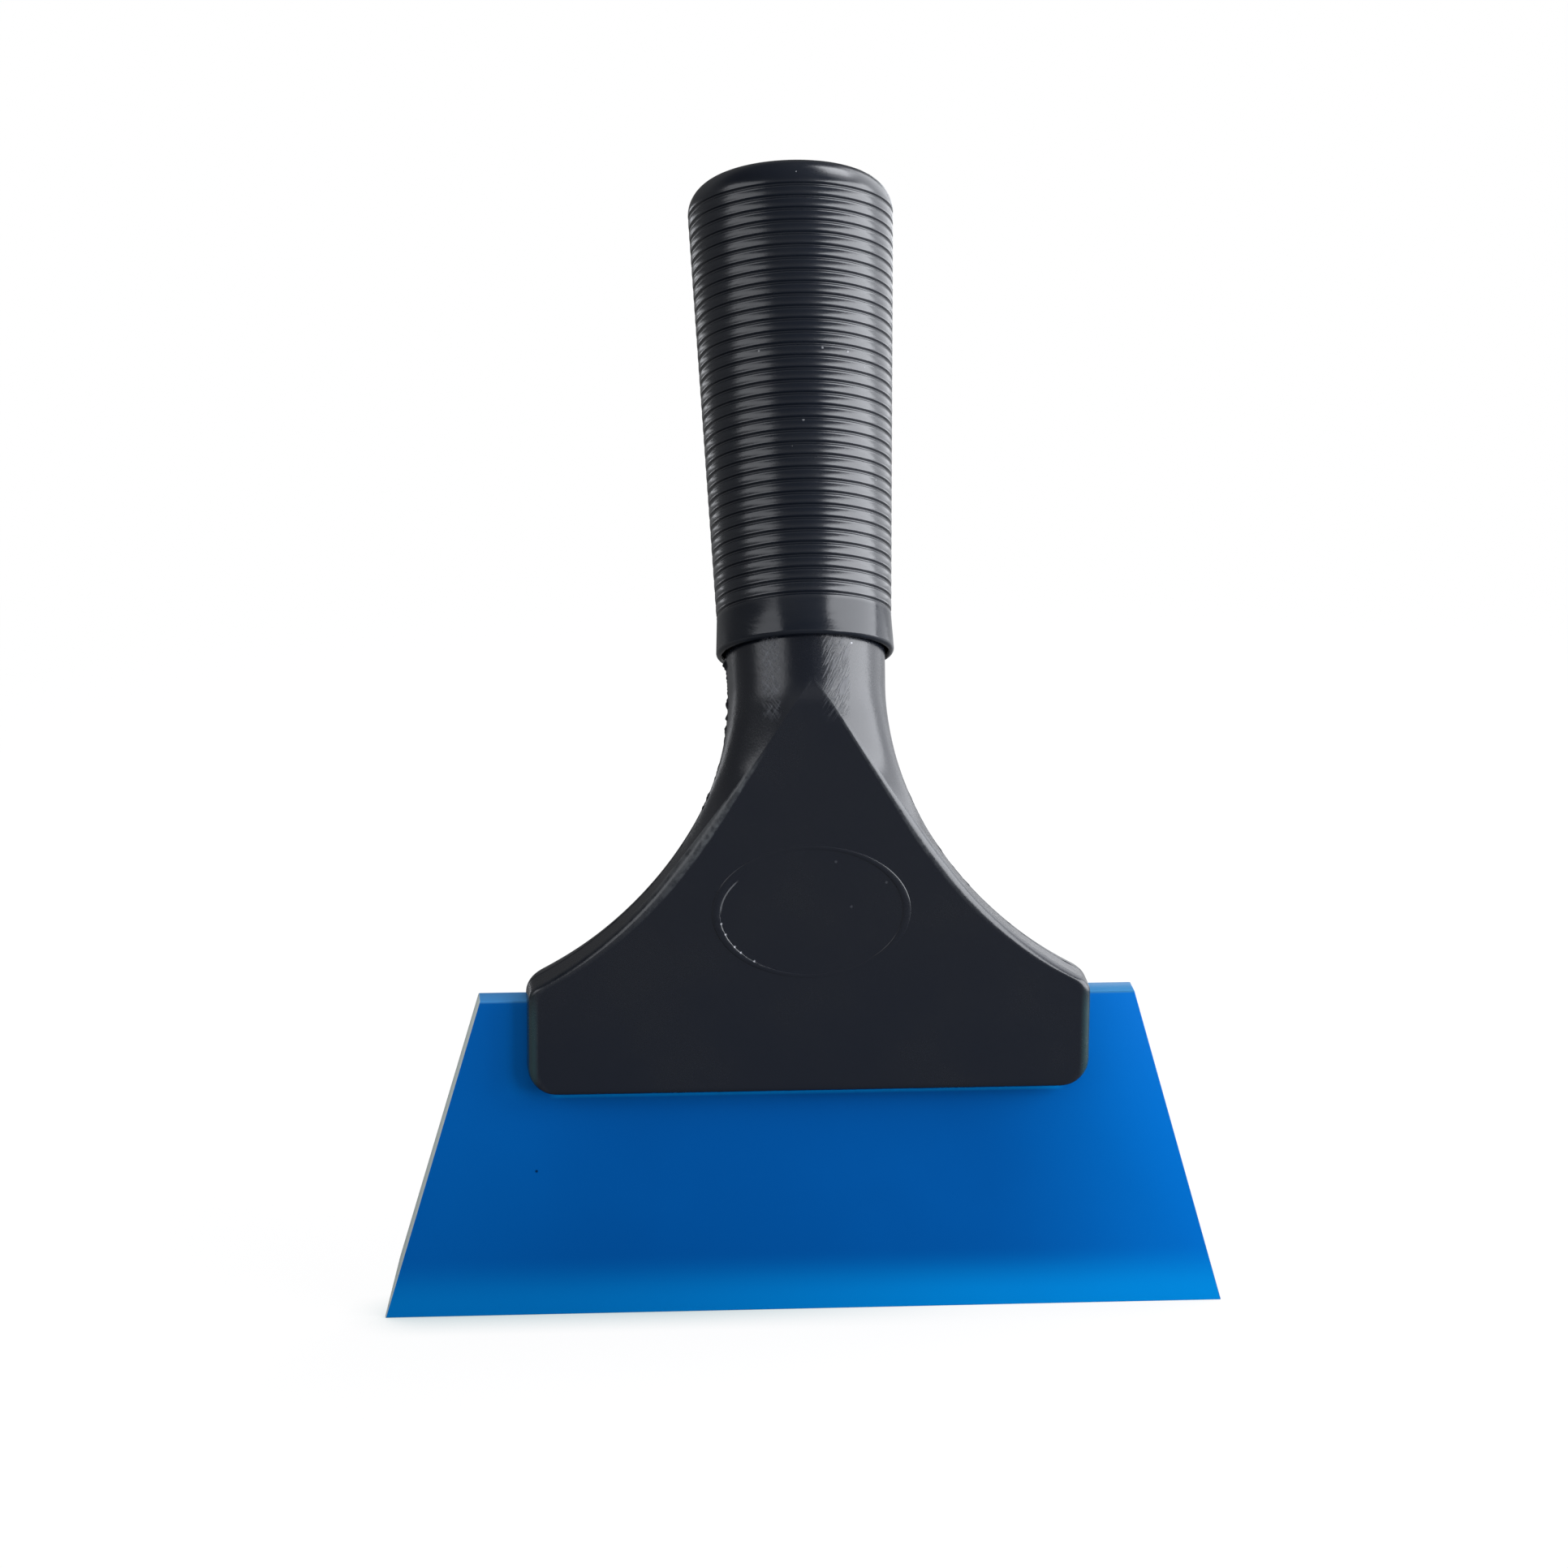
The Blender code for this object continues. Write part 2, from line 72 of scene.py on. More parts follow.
def closeEdit(piece, name=None, smoothAngle=32):
    # tidies the surface and leaves edit mode
    bpy.ops.mesh.select_mode(type="VERT")
    bpy.ops.mesh.select_all(action="SELECT")
    bpy.ops.mesh.remove_doubles(threshold=mergeGap)
    bpy.ops.mesh.normals_make_consistent(inside=False)
    bpy.ops.object.mode_set(mode="OBJECT")
    smoothBelow(smoothAngle)
    if name:
        piece.name = name
        piece.data.name = name


def pickFaces(piece, test):
    # selects only the faces whose middle passes the test
    bpy.ops.mesh.select_mode(type="FACE")
    bpy.ops.mesh.select_all(action="DESELECT")
    shape = bmesh.from_edit_mesh(piece.data)
    for face in [f for f in shape.faces if test(f.calc_center_median())]:
        face.select_set(True)
    shape.select_flush_mode()
    bmesh.update_edit_mesh(piece.data)


def pickOpenEdges():
    # selects only the edges round the holes of the piece that is open
    bpy.ops.mesh.select_all(action="DESELECT")
    bpy.ops.mesh.select_non_manifold(extend=False, use_wire=False, use_multi_face=False,
                                     use_non_contiguous=False, use_verts=False)


def applyAll(piece):
    activate(piece)
    for modifier in list(piece.modifiers):
        bpy.ops.object.modifier_apply(modifier=modifier.name)


def cutWith(piece, tools, smoothAngle):
    for tool in tools:
        modifier = piece.modifiers.new(tool.name, "BOOLEAN")
        modifier.operation = "DIFFERENCE"
        modifier.object = tool
    applyAll(piece)
    for tool in tools:
        bpy.data.objects.remove(tool)
    smoothBelow(smoothAngle)


def joinInto(piece, others):
    activate(piece, others)
    bpy.ops.object.join()


def settle(piece, place):
    # puts a place into the mesh, with the object left at the origin
    piece.data.transform(place @ piece.matrix_basis)
    piece.matrix_basis = Matrix.Identity(4)


def dress(piece, node, material):
    piece.data.materials.clear()
    piece.data.materials.append(material)
    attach(piece, "root")
    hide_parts(node)
    print("dressed", piece.name, len(piece.data.polygons), "faces")


# The handle's middle line, shared by the shells and the grip

handle = {
    "tilt": math.radians(27.4),
    "bendHeight": 91.3 * mm,
    "bendRadius": 40 * mm,
    "bendEase": 24.8 * mm,
    "bendSteps": 200,
    "neckRise": 4.02 * mm,
    "neckRadius": 12.9 * mm,
    "stemLength": 83.2 * mm,
    "stemEndRadius": 14.85 * mm,
    "stemChamfer": 1 * mm,
    "gripMouth": 6.4 * mm,  # above the end of the neck
}
bendTangent = handle["bendRadius"] * math.tan(handle["tilt"] / 2)
bendEnd = handle["bendHeight"] - bendTangent + handle["bendRadius"] * handle["tilt"]
bendMiddle = (handle["bendHeight"] - bendTangent + bendEnd) / 2
neckHeight = bendEnd + handle["neckRise"]
stemEnd = neckHeight + handle["stemLength"]
gripMouth = neckHeight + handle["gripMouth"]


def easeBetween(value, low, high):
    # 0 up to low and 1 from high, with a soft change between them
    t = min(max((value - low) / (high - low), 0), 1)
    return t * t * (3 - 2 * t)


def middleLine(distance):
    # y, z and lean at a distance along the line, whose bend eases in and out so that no crease
    # crosses the neck where it starts or ends
    low, high = bendMiddle - handle["bendEase"] / 2, bendMiddle + handle["bendEase"] / 2
    if distance <= low:
        return middleY, distance, 0.0
    if distance >= high:
        run = distance - bendEnd + bendTangent
        return (middleY + run * math.sin(handle["tilt"]),
                handle["bendHeight"] + run * math.cos(handle["tilt"]), handle["tilt"])
    y, z = middleY, low
    part = (distance - low) / handle["bendSteps"]
    for step in range(handle["bendSteps"]):
        lean = handle["tilt"] * easeBetween(low + part * (step + 0.5), low, high)
        y += math.sin(lean) * part
        z += math.cos(lean) * part
    return y, z, handle["tilt"] * easeBetween(distance, low, high)


def stemRadius(distance):
    share = (distance - neckHeight) / handle["stemLength"]
    return handle["neckRadius"] + (handle["stemEndRadius"] - handle["neckRadius"]) * share


# Shader maths

class Wire:
    # a socket that can stand in a sum as a number does
    def __init__(self, tree, socket=None):
        self.tree, self.socket = tree, socket

    def node(self, kind, settings, values, output=0):
        made = self.tree.nodes.new(kind)
        for name, value in settings.items():
            setattr(made, name, value)
        for name, value in values.items():
            if isinstance(value, Wire):
                self.tree.links.new(value.socket, made.inputs[name])
            else:
                made.inputs[name].default_value = value
        return Wire(self.tree, made.outputs[output])

    def maths(self, operation, first, second):
        return self.node("ShaderNodeMath", {"operation": operation}, {0: first, 1: second})

    def __add__(self, other):
        return self.maths("ADD", self, other)

    def __sub__(self, other):
        return self.maths("SUBTRACT", self, other)

    def __rsub__(self, other):
        return self.maths("SUBTRACT", other, self)

    def __mul__(self, other):
        return self.maths("MULTIPLY", self, other)

    def __truediv__(self, other):
        return self.maths("DIVIDE", self, other)

    def __pow__(self, other):
        return self.maths("POWER", self, other)

    __radd__ = __add__
    __rmul__ = __mul__

    def least(self, other):
        return self.maths("MINIMUM", self, other)

    def most(self, other):
        return self.maths("MAXIMUM", self, other)

    def size(self):
        return self.node("ShaderNodeMath", {"operation": "ABSOLUTE"}, {0: self})

    def step(self, low, high, start=0.0, end=1.0):
        # a smooth change from start to end as this goes from low to high
        return self.node("ShaderNodeMapRange", {"interpolation_type": "SMOOTHSTEP"},
                         {"Value": self, "From Min": low, "From Max": high, "To Min": start, "To Max": end})

    def tinted(self, tint):
        # this value times a colour
        return self.node("ShaderNodeVectorMath", {"operation": "SCALE"}, {0: tint, "Scale": self})

    def blend(self, first, second):
        # mixes two colours by this share
        first, second = [(*color, 1) if isinstance(color, tuple) else color for color in (first, second)]
        return self.node("ShaderNodeMix", {"data_type": "RGBA"}, {0: self, 6: first, 7: second}, 2)


def newMaterial(name):
    material = bpy.data.materials.new(name)
    material.use_nodes = True
    surface = material.node_tree.nodes["Principled BSDF"]
    start = Wire(material.node_tree)
    place = start.node("ShaderNodeTexCoord", {}, {}, "Object")
    return material, surface, place


def spread(place, scale, detail, rough=0.5, stretch=(1, 1, 1), turn=(0, 0, 0)):
    # noise at a number of bumps to the metre, drawn out along the turned axes where stretch is over 1
    mapped = place.node("ShaderNodeMapping", {"vector_type": "TEXTURE"},
                        {"Vector": place, "Rotation": turn, "Scale": stretch})
    return place.node("ShaderNodeTexNoise", {}, {"Vector": mapped, "Scale": scale, "Detail": detail,
                                                "Roughness": rough})


def specks(place, scale, radius):
    # sparse round dots, 1 in each dot and 0 around it
    cell = place.node("ShaderNodeTexVoronoi", {}, {"Vector": place, "Scale": scale}, "Distance")
    return cell.step(radius * scale, radius * scale * 0.4)


def dots(place, points, radius):
    # single specks, at places counted in millimetres from the floor under the middle of the blade
    total = None
    for x, y, z in points:
        spot = Vector((x * mm, middleY + y * mm, z * mm))
        near = place.node("ShaderNodeVectorMath", {"operation": "DISTANCE"}, {0: place, 1: spot}, "Value")
        near = near.step(radius, radius * 0.4)
        total = near if total is None else total.most(near)
    return total


def connect(surface, socket, wire):
    wire.tree.links.new(wire.socket, surface.inputs[socket])


def addBump(surface, height, distance, strength):
    bump = height.node("ShaderNodeBump", {}, {"Height": height, "Distance": distance,
                                              "Strength": strength}, "Normal")
    connect(surface, "Normal", bump)


def outputs(wire, names):
    # one wire for each named output of a wire's node
    return [Wire(wire.tree, wire.socket.node.outputs[name]) for name in names]


def axes(place):
    return outputs(place.node("ShaderNodeSeparateXYZ", {}, {"Vector": place}), "XYZ")


def rayKinds(start):
    return outputs(start.node("ShaderNodeLightPath", {}, {}),
                   ("Is Camera Ray", "Is Glossy Ray", "Is Transmission Ray"))


# Moulded plastic of the two shells

plasticLook = {
    "face": (0.0050, 0.0073, 0.0140),
    "low": (0.0030, 0.0060, 0.0140),
    "cloud": (0.008, 0.010, 0.014),
    "worn": (0.105, 0.112, 0.130),
    "rubbedAndSheen": (0.075, 0.082, 0.090),
    "jawSideReflection": (0.018, 0.052, 0.060),
    "arc": (0.12, 0.125, 0.135),
    "arcHalves": (14.85 * mm, 9.2 * mm),
    "nickAndGlint": (0.34, 0.35, 0.38),
    "roughness": 0.25,
    "specular": 0.72,
    "nicksAndGlints": ((-14.7, -6.55, 68.2), (-14.0, -6.55, 66.4), (-12.5, -6.55, 64.3), (-11.5, -6.55, 63.3),
              (-9.3, -6.55, 61.8), (6.6, -1.1, 113.6)),
    "marks": ((3.9, -6.5, 78.4), (12.2, -6.5, 74.8), (6.5, -6.5, 70.8)),
}


def mouldedPlastic():
    material, surface, place = newMaterial("mouldedPlastic")
    x, y, z = axes(place)
    cloud = spread(place, 60, 4)
    tone = z.step(42 * mm, 70 * mm)
    color = tone.blend(plasticLook["low"], plasticLook["face"])
    color = (cloud.step(0.35, 0.75) * 0.3).blend(color, plasticLook["cloud"])

    # slanting scuffs on the front of the neck, and worn creases beside the face; both are painted lighter,
    # more so on the left, partly as painted highlight
    neck = z.step(101 * mm, 105 * mm) * z.step(119 * mm, 113 * mm) * y.step(14 * mm, 4 * mm)
    steep = spread(place, 4000, 3, 0.6, (1, 12, 12), (0, math.radians(30), 0)).step(0.47, 0.60)
    flat = spread(place, 4000, 3, 0.6, (1, 8, 8), (0, math.radians(-40), 0)).step(0.47, 0.60)
    leftZone = (x + 6.7 * mm).size().step(1.8 * mm, 0.8 * mm)
    rightZone = (x - 3.9 * mm).size().step(2.7 * mm, 1.5 * mm)
    scuffAndSheen = neck * (leftZone * (flat * 0.5 + steep * 0.5) + rightZone * steep)
    # painted highlight in part: the scuffs' lighter colour, stronger on the left, stands in for the highlight
    # on the neck
    color = (scuffAndSheen * x.step(-2 * mm, 2 * mm, 1.0, 0.35)).blend(color, plasticLook["worn"])
    crease = place.node("ShaderNodeAttribute", {"attribute_name": "crease"}, {}, "Fac")
    chafe = spread(place, 700, 4, 0.65)
    leftTip = crease * x.step(0.5 * mm, -1.5 * mm) * z.step(91 * mm, 98 * mm)
    # painted highlight in part: the worn creases are lightened, most on the left and higher up, standing in
    # for light along them
    along = z.step(64 * mm, 84 * mm, 0.1, 1.0) * x.step(-2 * mm, 2 * mm, 1.0, 0.5)
    rubbedAndSheen = (crease - leftTip) * along * chafe.step(0.36, 0.58, 0.35, 1.0)
    color = rubbedAndSheen.blend(color, plasticLook["rubbedAndSheen"])

    # painted reflection: a greenish tint on the front edges of the jaw's sides, standing in for light that
    # the blade throws on them
    sides = x.size().step(44.4 * mm, 45.5 * mm) * z.step(58 * mm, 52 * mm)
    sides = sides * y.step(middleY - 3.2 * mm, middleY - 5.2 * mm)
    color = (sides * 0.8).blend(color, plasticLook["jawSideReflection"])

    # a painted highlight as a light line inside the left end of the ring; faint marks; and single bright
    # specks, those along the ring's inner edge being painted glints
    across, tall = plasticLook["arcHalves"]
    rise = z - 70 * mm
    fromMiddle = ((x * x) / across ** 2 + (rise * rise) / tall ** 2) ** 0.5
    # painted highlight: the light line inside the left end of the ring
    arc = (fromMiddle - 1).size().step(0.013, 0.004) * x.step(-11.8 * mm, -12.9 * mm)
    arc = arc * y.step(-30 * mm, -32 * mm) * z.step(69.6 * mm, 71 * mm)
    color = arc.blend(color, plasticLook["arc"])
    color = (dots(place, plasticLook["marks"], 0.30 * mm) * 0.35).blend(color, plasticLook["worn"])
    # painted glints: the bright specks along the inner edge of the ring; the last one, on the neck, is a nick
    color = dots(place, plasticLook["nicksAndGlints"], 0.24 * mm).blend(color, plasticLook["nickAndGlint"])
    connect(surface, "Base Color", color)
    grain = spread(place, 2600, 2)
    rough = plasticLook["roughness"] + (cloud - 0.5) * 0.14 + (grain - 0.5) * 0.08
    connect(surface, "Roughness", rough + scuffAndSheen * 0.12 + rubbedAndSheen * 0.15)
    height = grain * 0.5 + spread(place, 420, 3) * 1.3 + scuffAndSheen * 0.8 + rubbedAndSheen * chafe * 1.5
    addBump(surface, height, 0.03 * mm, 0.8)
    surface.inputs["Specular IOR Level"].default_value = plasticLook["specular"]
    return material


# Rubber of the grip

rubberLook = {
    "base": (0.0078, 0.0105, 0.0170),
    "bloom": (0.013, 0.0155, 0.021),
    "dusty": (0.30, 0.31, 0.33),
    "roughness": 0.23,
    "specular": 0.48,
    "ribGloss": 0.48,
    "glossRoughness": 0.24,
    "dust": ((-7.2, 18.5, 158.1), (3.1, 17.3, 158.8), (7.4, 18.5, 157.9), (-0.4, 11.9, 147.9)),
}


def ribbedRubber():
    material, surface, place = newMaterial("ribbedRubber")
    x, y, z = axes(place)
    mouthY, mouthZ, lean = middleLine(gripMouth)
    along = (y - mouthY) * math.sin(lean) + (z - mouthZ) * math.cos(lean)
    cloud = spread(place, 90, 4)
    streaks = spread(place, 900, 3, 0.6, (5.5, 5.5, 1))
    color = (cloud.step(0.4, 0.8) * 0.5).blend(rubberLook["base"], rubberLook["bloom"])
    dust = specks(place, 190, 0.14 * mm).most(dots(place, rubberLook["dust"], 0.26 * mm))
    color = (dust * 0.6).blend(color, rubberLook["dusty"])
    connect(surface, "Base Color", color)
    ribs = along.step(5.8 * mm, 6.6 * mm)
    rough = rubberLook["roughness"] - 0.05 + ribs * 0.05
    connect(surface, "Roughness", rough + (streaks - 0.5) * 0.22 + (cloud - 0.5) * 0.10)
    addBump(surface, streaks * 0.8 + spread(place, 2400, 2) * 0.4 + dust * 0.8, 0.03 * mm, 0.8)
    connect(surface, "Coat Weight", ribs * rubberLook["ribGloss"])
    surface.inputs["Coat Roughness"].default_value = rubberLook["glossRoughness"]
    surface.inputs["Specular IOR Level"].default_value = rubberLook["specular"]
    return material


# Cast urethane of the blade

urethaneLook = {
    "deep": (0.0, 0.091, 0.370),
    "bright": (0.0, 0.150, 0.560),
    "edge": (0.0, 0.250, 0.710),
    "top": (0.055, 0.26, 0.60),
    "topRight": (0.040, 0.20, 0.42),
    "leftEnd": (0.66, 0.75, 0.72),
    "rightEnd": (0.02, 0.13, 0.36),
    "speck": (0.0, 0.022, 0.08),
    "specks": ((-44.8, -2.5, 25.1),),
    "roughness": 0.30,
    "specular": 0.07,
}


def castUrethane():
    material, surface, place = newMaterial("castUrethane")
    x, y, z = axes(place)
    out = x.size() + z * 0.293  # distance from the middle, level with the slanted ends
    side = out.step(34 * mm, 71 * mm)
    rightward = x.step(-50 * mm, 62 * mm)
    # painted light: the blade is lighter towards its slanted ends, and more so to the right, standing in for
    # light through the translucent urethane
    paintedSideLight = side * (0.35 + rightward * 0.65)
    color = paintedSideLight.blend(urethaneLook["deep"], urethaneLook["bright"])
    # painted light: lighter where the blade thins towards its edge, more so to the right, as light shining
    # through the thin part
    thinEdgeLight = z.step(10.5 * mm, 2 * mm)
    color = (thinEdgeLight * (0.55 + rightward * 0.45)).blend(color, urethaneLook["edge"])
    cloud = spread(place, 35, 3)
    color = (cloud.step(0.45, 0.8) * 0.10).blend(color, urethaneLook["bright"])
    # painted light: lifts the blade's colour beside the jaw's left side, where the jaw casts its shadow
    beside = x.step(-52 * mm, -47 * mm) * z.step(36 * mm, 41 * mm) * x.step(0.0, -10 * mm)
    color = beside.blend(color, urethaneLook["bright"])
    # painted highlight: a light line on the blade just under the jaw's lower edge
    underJawHighlight = z.step(37.5 * mm, 38.1 * mm) * x.size().step(43 * mm, 41 * mm)
    color = (underJawHighlight * 0.9).blend(color, urethaneLook["edge"])
    # painted reflection: the blade's top face is lighter, in two tones from left to right
    top = rightward.blend(urethaneLook["top"], urethaneLook["topRight"])
    color = z.step(54.0 * mm, 54.4 * mm).blend(color, top)
    # painted light: the left cut end is painted pale and the right one blue, standing in for light through
    # them
    end = x.step(-5 * mm, 5 * mm).blend(urethaneLook["leftEnd"], urethaneLook["rightEnd"])
    color = out.step(69.82 * mm, 69.94 * mm).blend(color, end)
    color = dots(place, urethaneLook["specks"], 0.34 * mm).blend(color, urethaneLook["speck"])
    connect(surface, "Base Color", color)
    connect(surface, "Roughness", urethaneLook["roughness"] + (cloud - 0.5) * 0.10)
    addBump(surface, spread(place, 160, 3) + specks(place, 60, 0.2 * mm) * 0.5, 0.02 * mm, 0.5)
    surface.inputs["Specular IOR Level"].default_value = urethaneLook["specular"]
    return material


# Plated steel of the screws

steelLook = {"color": (0.56, 0.56, 0.55), "dark": (0.30, 0.30, 0.31), "roughness": 0.28}


def platedSteel():
    material, surface, place = newMaterial("platedSteel")
    cloud = spread(place, 700, 4)
    fine = spread(place, 5200, 2, 0.6, (1, 5, 1))
    color = cloud.step(0.35, 0.7).blend(steelLook["dark"], steelLook["color"])
    connect(surface, "Base Color", color)
    connect(surface, "Roughness", steelLook["roughness"] + (fine - 0.5) * 0.2)
    addBump(surface, fine, 0.01 * mm, 0.6)
    surface.inputs["Metallic"].default_value = 1.0
    return material


# The head's two shells

head = {
    "halfWidth": 46.3 * mm,
    "lowerEdge": 39.3 * mm,
    "halfDepth": 6.5 * mm,
    "slotHalf": 2.8 * mm,
    "slotTop": 54.8 * mm,
    "seamHalf": 0.15 * mm,
    "cornerRadius": 4.6 * mm,
    "lipRadius": 0.8 * mm,
    "shoulderHeight": 57.0 * mm,
    "shoulderRadius": 3 * mm,
    "flareAngle": math.radians(62),
    "shoulderPull": 19 * mm,
    "neckPull": 20.9 * mm,
    "edgeRadius": (1.4 * mm, 1.9 * mm, 0.8 * mm),  # on the jaw, along the flare and near the face's tip
    "jawToFlare": (55 * mm, 62 * mm),
    "flareToTip": (82 * mm, 97 * mm),
    "flatToRound": (84 * mm, 97 * mm),  # where the front's flank turns into an arc
    "flankBulge": (0.12, 0.30),
    "leastFlat": 0.1 * mm,
    "leastTrim": 0.05 * mm,
    "rimWidth": 0.4 * mm,
    "faceInset": 0.1 * mm,
    "faceTaperHeight": 76 * mm,
    "faceTaperPower": 1.75,
    "faceTip": 104 * mm,
    "tipBlend": 1.4 * mm,
    "backInset": 2.6 * mm,
    "backRoundHeight": 58 * mm,
    "creaseFade": 3 * mm,
    "cornerSteps": 14,
    "jawSteps": 4,
    "shoulderSteps": 10,
    "flareSteps": 64,
    "stemSteps": 8,
    "flankSteps": 20,
    "edgeSteps": 10,
}


def headOutline():
    # half width and distance along the middle line, from the lower edge to the end of the stem
    places = []
    for step in range(head["cornerSteps"] + 1):
        angle = math.pi / 2 * step / head["cornerSteps"]
        places.append((head["halfWidth"] - head["cornerRadius"] * (1 - math.sin(angle)),
                       head["lowerEdge"] + head["cornerRadius"] * (1 - math.cos(angle))))
    low = head["lowerEdge"] + head["cornerRadius"]
    for step in range(1, head["jawSteps"] + 1):
        places.append((head["halfWidth"], low + (head["slotTop"] - low) * step / head["jawSteps"]))
    places.append(places[-1])  # the slot's ceiling lies between these two
    tangent = head["shoulderRadius"] * math.tan(head["flareAngle"] / 2)
    for step in range(head["shoulderSteps"] + 1):
        angle = head["flareAngle"] * step / head["shoulderSteps"]
        places.append((head["halfWidth"] - head["shoulderRadius"] * (1 - math.cos(angle)),
                       head["shoulderHeight"] - tangent + head["shoulderRadius"] * math.sin(angle)))
    way = Vector((-math.sin(head["flareAngle"]), math.cos(head["flareAngle"])))
    corner = Vector((head["halfWidth"], head["shoulderHeight"]))
    neck = Vector((handle["neckRadius"], neckHeight))
    a, b = corner + way * tangent, corner + way * head["shoulderPull"]
    c, d = neck - Vector((0, head["neckPull"])), neck
    for step in range(1, head["flareSteps"] + 1):
        t = step / head["flareSteps"]
        s = 1 - t
        places.append(tuple(a * s ** 3 + b * 3 * s * s * t + c * 3 * s * t * t + d * t ** 3))
    last = stemEnd - handle["stemChamfer"]
    for step in range(1, head["stemSteps"] + 1):
        distance = neckHeight + (last - neckHeight) * step / head["stemSteps"]
        places.append((stemRadius(distance), distance))
    places.append((stemRadius(stemEnd) - handle["stemChamfer"], stemEnd))
    return places


def roundNeck(width):
    # past the face's tip a shell is a half round with hardly any flat
    return head["leastFlat"], math.sqrt(width ** 2 - head["leastFlat"] ** 2)


def faceOfFront(width, distance):
    # half width and depth of the flat face, which runs out softly on the round neck
    if distance >= head["faceTip"]:
        return roundNeck(width)
    y, z, lean = middleLine(distance)
    taper = max(distance - head["faceTaperHeight"], 0) / (head["faceTip"] - head["faceTaperHeight"])
    inset = head["faceInset"] + (handle["neckRadius"] - head["faceInset"]) * taper ** head["faceTaperPower"]
    plane = (y - middleY + head["halfDepth"]) / math.cos(lean)
    rounded, blend = max(width, handle["neckRadius"]), head["tipBlend"]
    overlap = max(blend - abs(plane - rounded), 0) / blend
    return max(width - inset, head["leastFlat"]), min(plane, rounded) - blend / 4 * overlap ** 2


def faceOfBack(width, distance):
    if distance >= head["faceTip"]:
        return roundNeck(width)
    roundness = easeBetween(distance, head["backRoundHeight"], head["faceTip"])
    depth = head["halfDepth"] + (handle["neckRadius"] - head["halfDepth"]) * roundness
    return max((width - head["backInset"]) * (1 - roundness), head["leastFlat"]), depth


def shellSection(width, distance, face, side, inSlot):
    # one section round the outside of a shell, from its right seam to its left one
    flat, depth = face(width, distance)
    jawRadius, flareRadius, tipRadius = head["edgeRadius"]
    edgeRadius = jawRadius + (flareRadius - jawRadius) * easeBetween(distance, *head["jawToFlare"])
    edgeRadius += (tipRadius - flareRadius) * easeBetween(distance, *head["flareToTip"])
    rise = distance - head["lowerEdge"]
    if rise < head["lipRadius"]:
        depth -= head["lipRadius"] - math.sqrt(rise * (2 * head["lipRadius"] - rise))
    edgeAngle = math.acos(flat / width)
    reach = depth / math.sin(edgeAngle)
    slope = math.atan2(reach * math.cos(edgeAngle), width * math.sin(edgeAngle))
    trim = min(edgeRadius * math.tan(slope / 2), depth / 3, flat / 2)
    trim = max(trim, min(flat / 2, head["leastTrim"]))
    speed = math.hypot(width * math.sin(edgeAngle), reach * math.cos(edgeAngle))
    lastAngle = edgeAngle - trim / speed
    seamAngle = math.asin(head["seamHalf"] / reach)
    slotAngle = math.asin(min(head["slotHalf"] / reach, 1)) if inSlot else 0

    # the flank is an arc on the neck and flatter below it
    straight = 1 - easeBetween(distance, *head["flatToRound"]) if side < 0 else 0
    endX, endDepth = width * math.cos(lastAngle), reach * math.sin(lastAngle)
    bulgeX, bulgeDepth = head["flankBulge"]
    half = []
    for step in range(head["flankSteps"] + 1):
        angle = max(seamAngle + (lastAngle - seamAngle) * step / head["flankSteps"], slotAngle)
        t = (angle - seamAngle) / (lastAngle - seamAngle)
        s = 1 - t
        flatX = width * s * s + (width - (width - endX) * bulgeX) * 2 * s * t + endX * t * t
        flatDepth = head["seamHalf"] * s * s + endDepth * bulgeDepth * 2 * s * t + endDepth * t * t
        roundX, roundDepth = width * math.cos(angle), reach * math.sin(angle)
        if angle == slotAngle:
            flatDepth = roundDepth
        half.append((roundX + (flatX - roundX) * straight, roundDepth + (flatDepth - roundDepth) * straight))
    sideX, sideDepth = half[-1]
    for step in range(1, head["edgeSteps"] + 1):
        t = step / head["edgeSteps"]
        s = 1 - t
        half.append((sideX * s * s + flat * 2 * s * t + (flat - trim) * t * t,
                     sideDepth * s * s + depth * 2 * s * t + depth * t * t))
    half.append((flat - trim - min(head["rimWidth"], (flat - trim) * 0.4), depth))
    y, z, lean = middleLine(distance)
    return [(x, y + side * d * math.cos(lean), z - side * d * math.sin(lean))
            for x, d in half + [(-x, d) for x, d in reversed(half)]]


def wrapSkin(sections, crease=None):
    # a flat grid, wrapped round the sections and closed along its seam and ends
    columns, rows = len(sections[0]), len(sections)
    deselectAll()
    bpy.ops.mesh.primitive_grid_add(x_subdivisions=columns - 1, y_subdivisions=rows - 1, size=1)
    skin = bpy.context.object
    for vertex, place in zip(skin.data.vertices, [p for section in sections for p in section]):
        vertex.co = place
    if crease:
        skin.data.attributes.new("crease", "FLOAT", "POINT").data.foreach_set("value", crease)
    openForEdit(skin)
    bpy.ops.mesh.select_mode(type="EDGE")
    bpy.ops.mesh.select_all(action="DESELECT")
    shape = bmesh.from_edit_mesh(skin.data)
    for edge in shape.edges:
        low, high = sorted(v.index for v in edge.verts)
        if high - low == columns and low % columns in (0, columns - 1):
            edge.select_set(True)
    bmesh.update_edit_mesh(skin.data)
    bpy.ops.mesh.bridge_edge_loops()
    pickOpenEdges()
    bpy.ops.mesh.fill_holes(sides=0)
    return skin


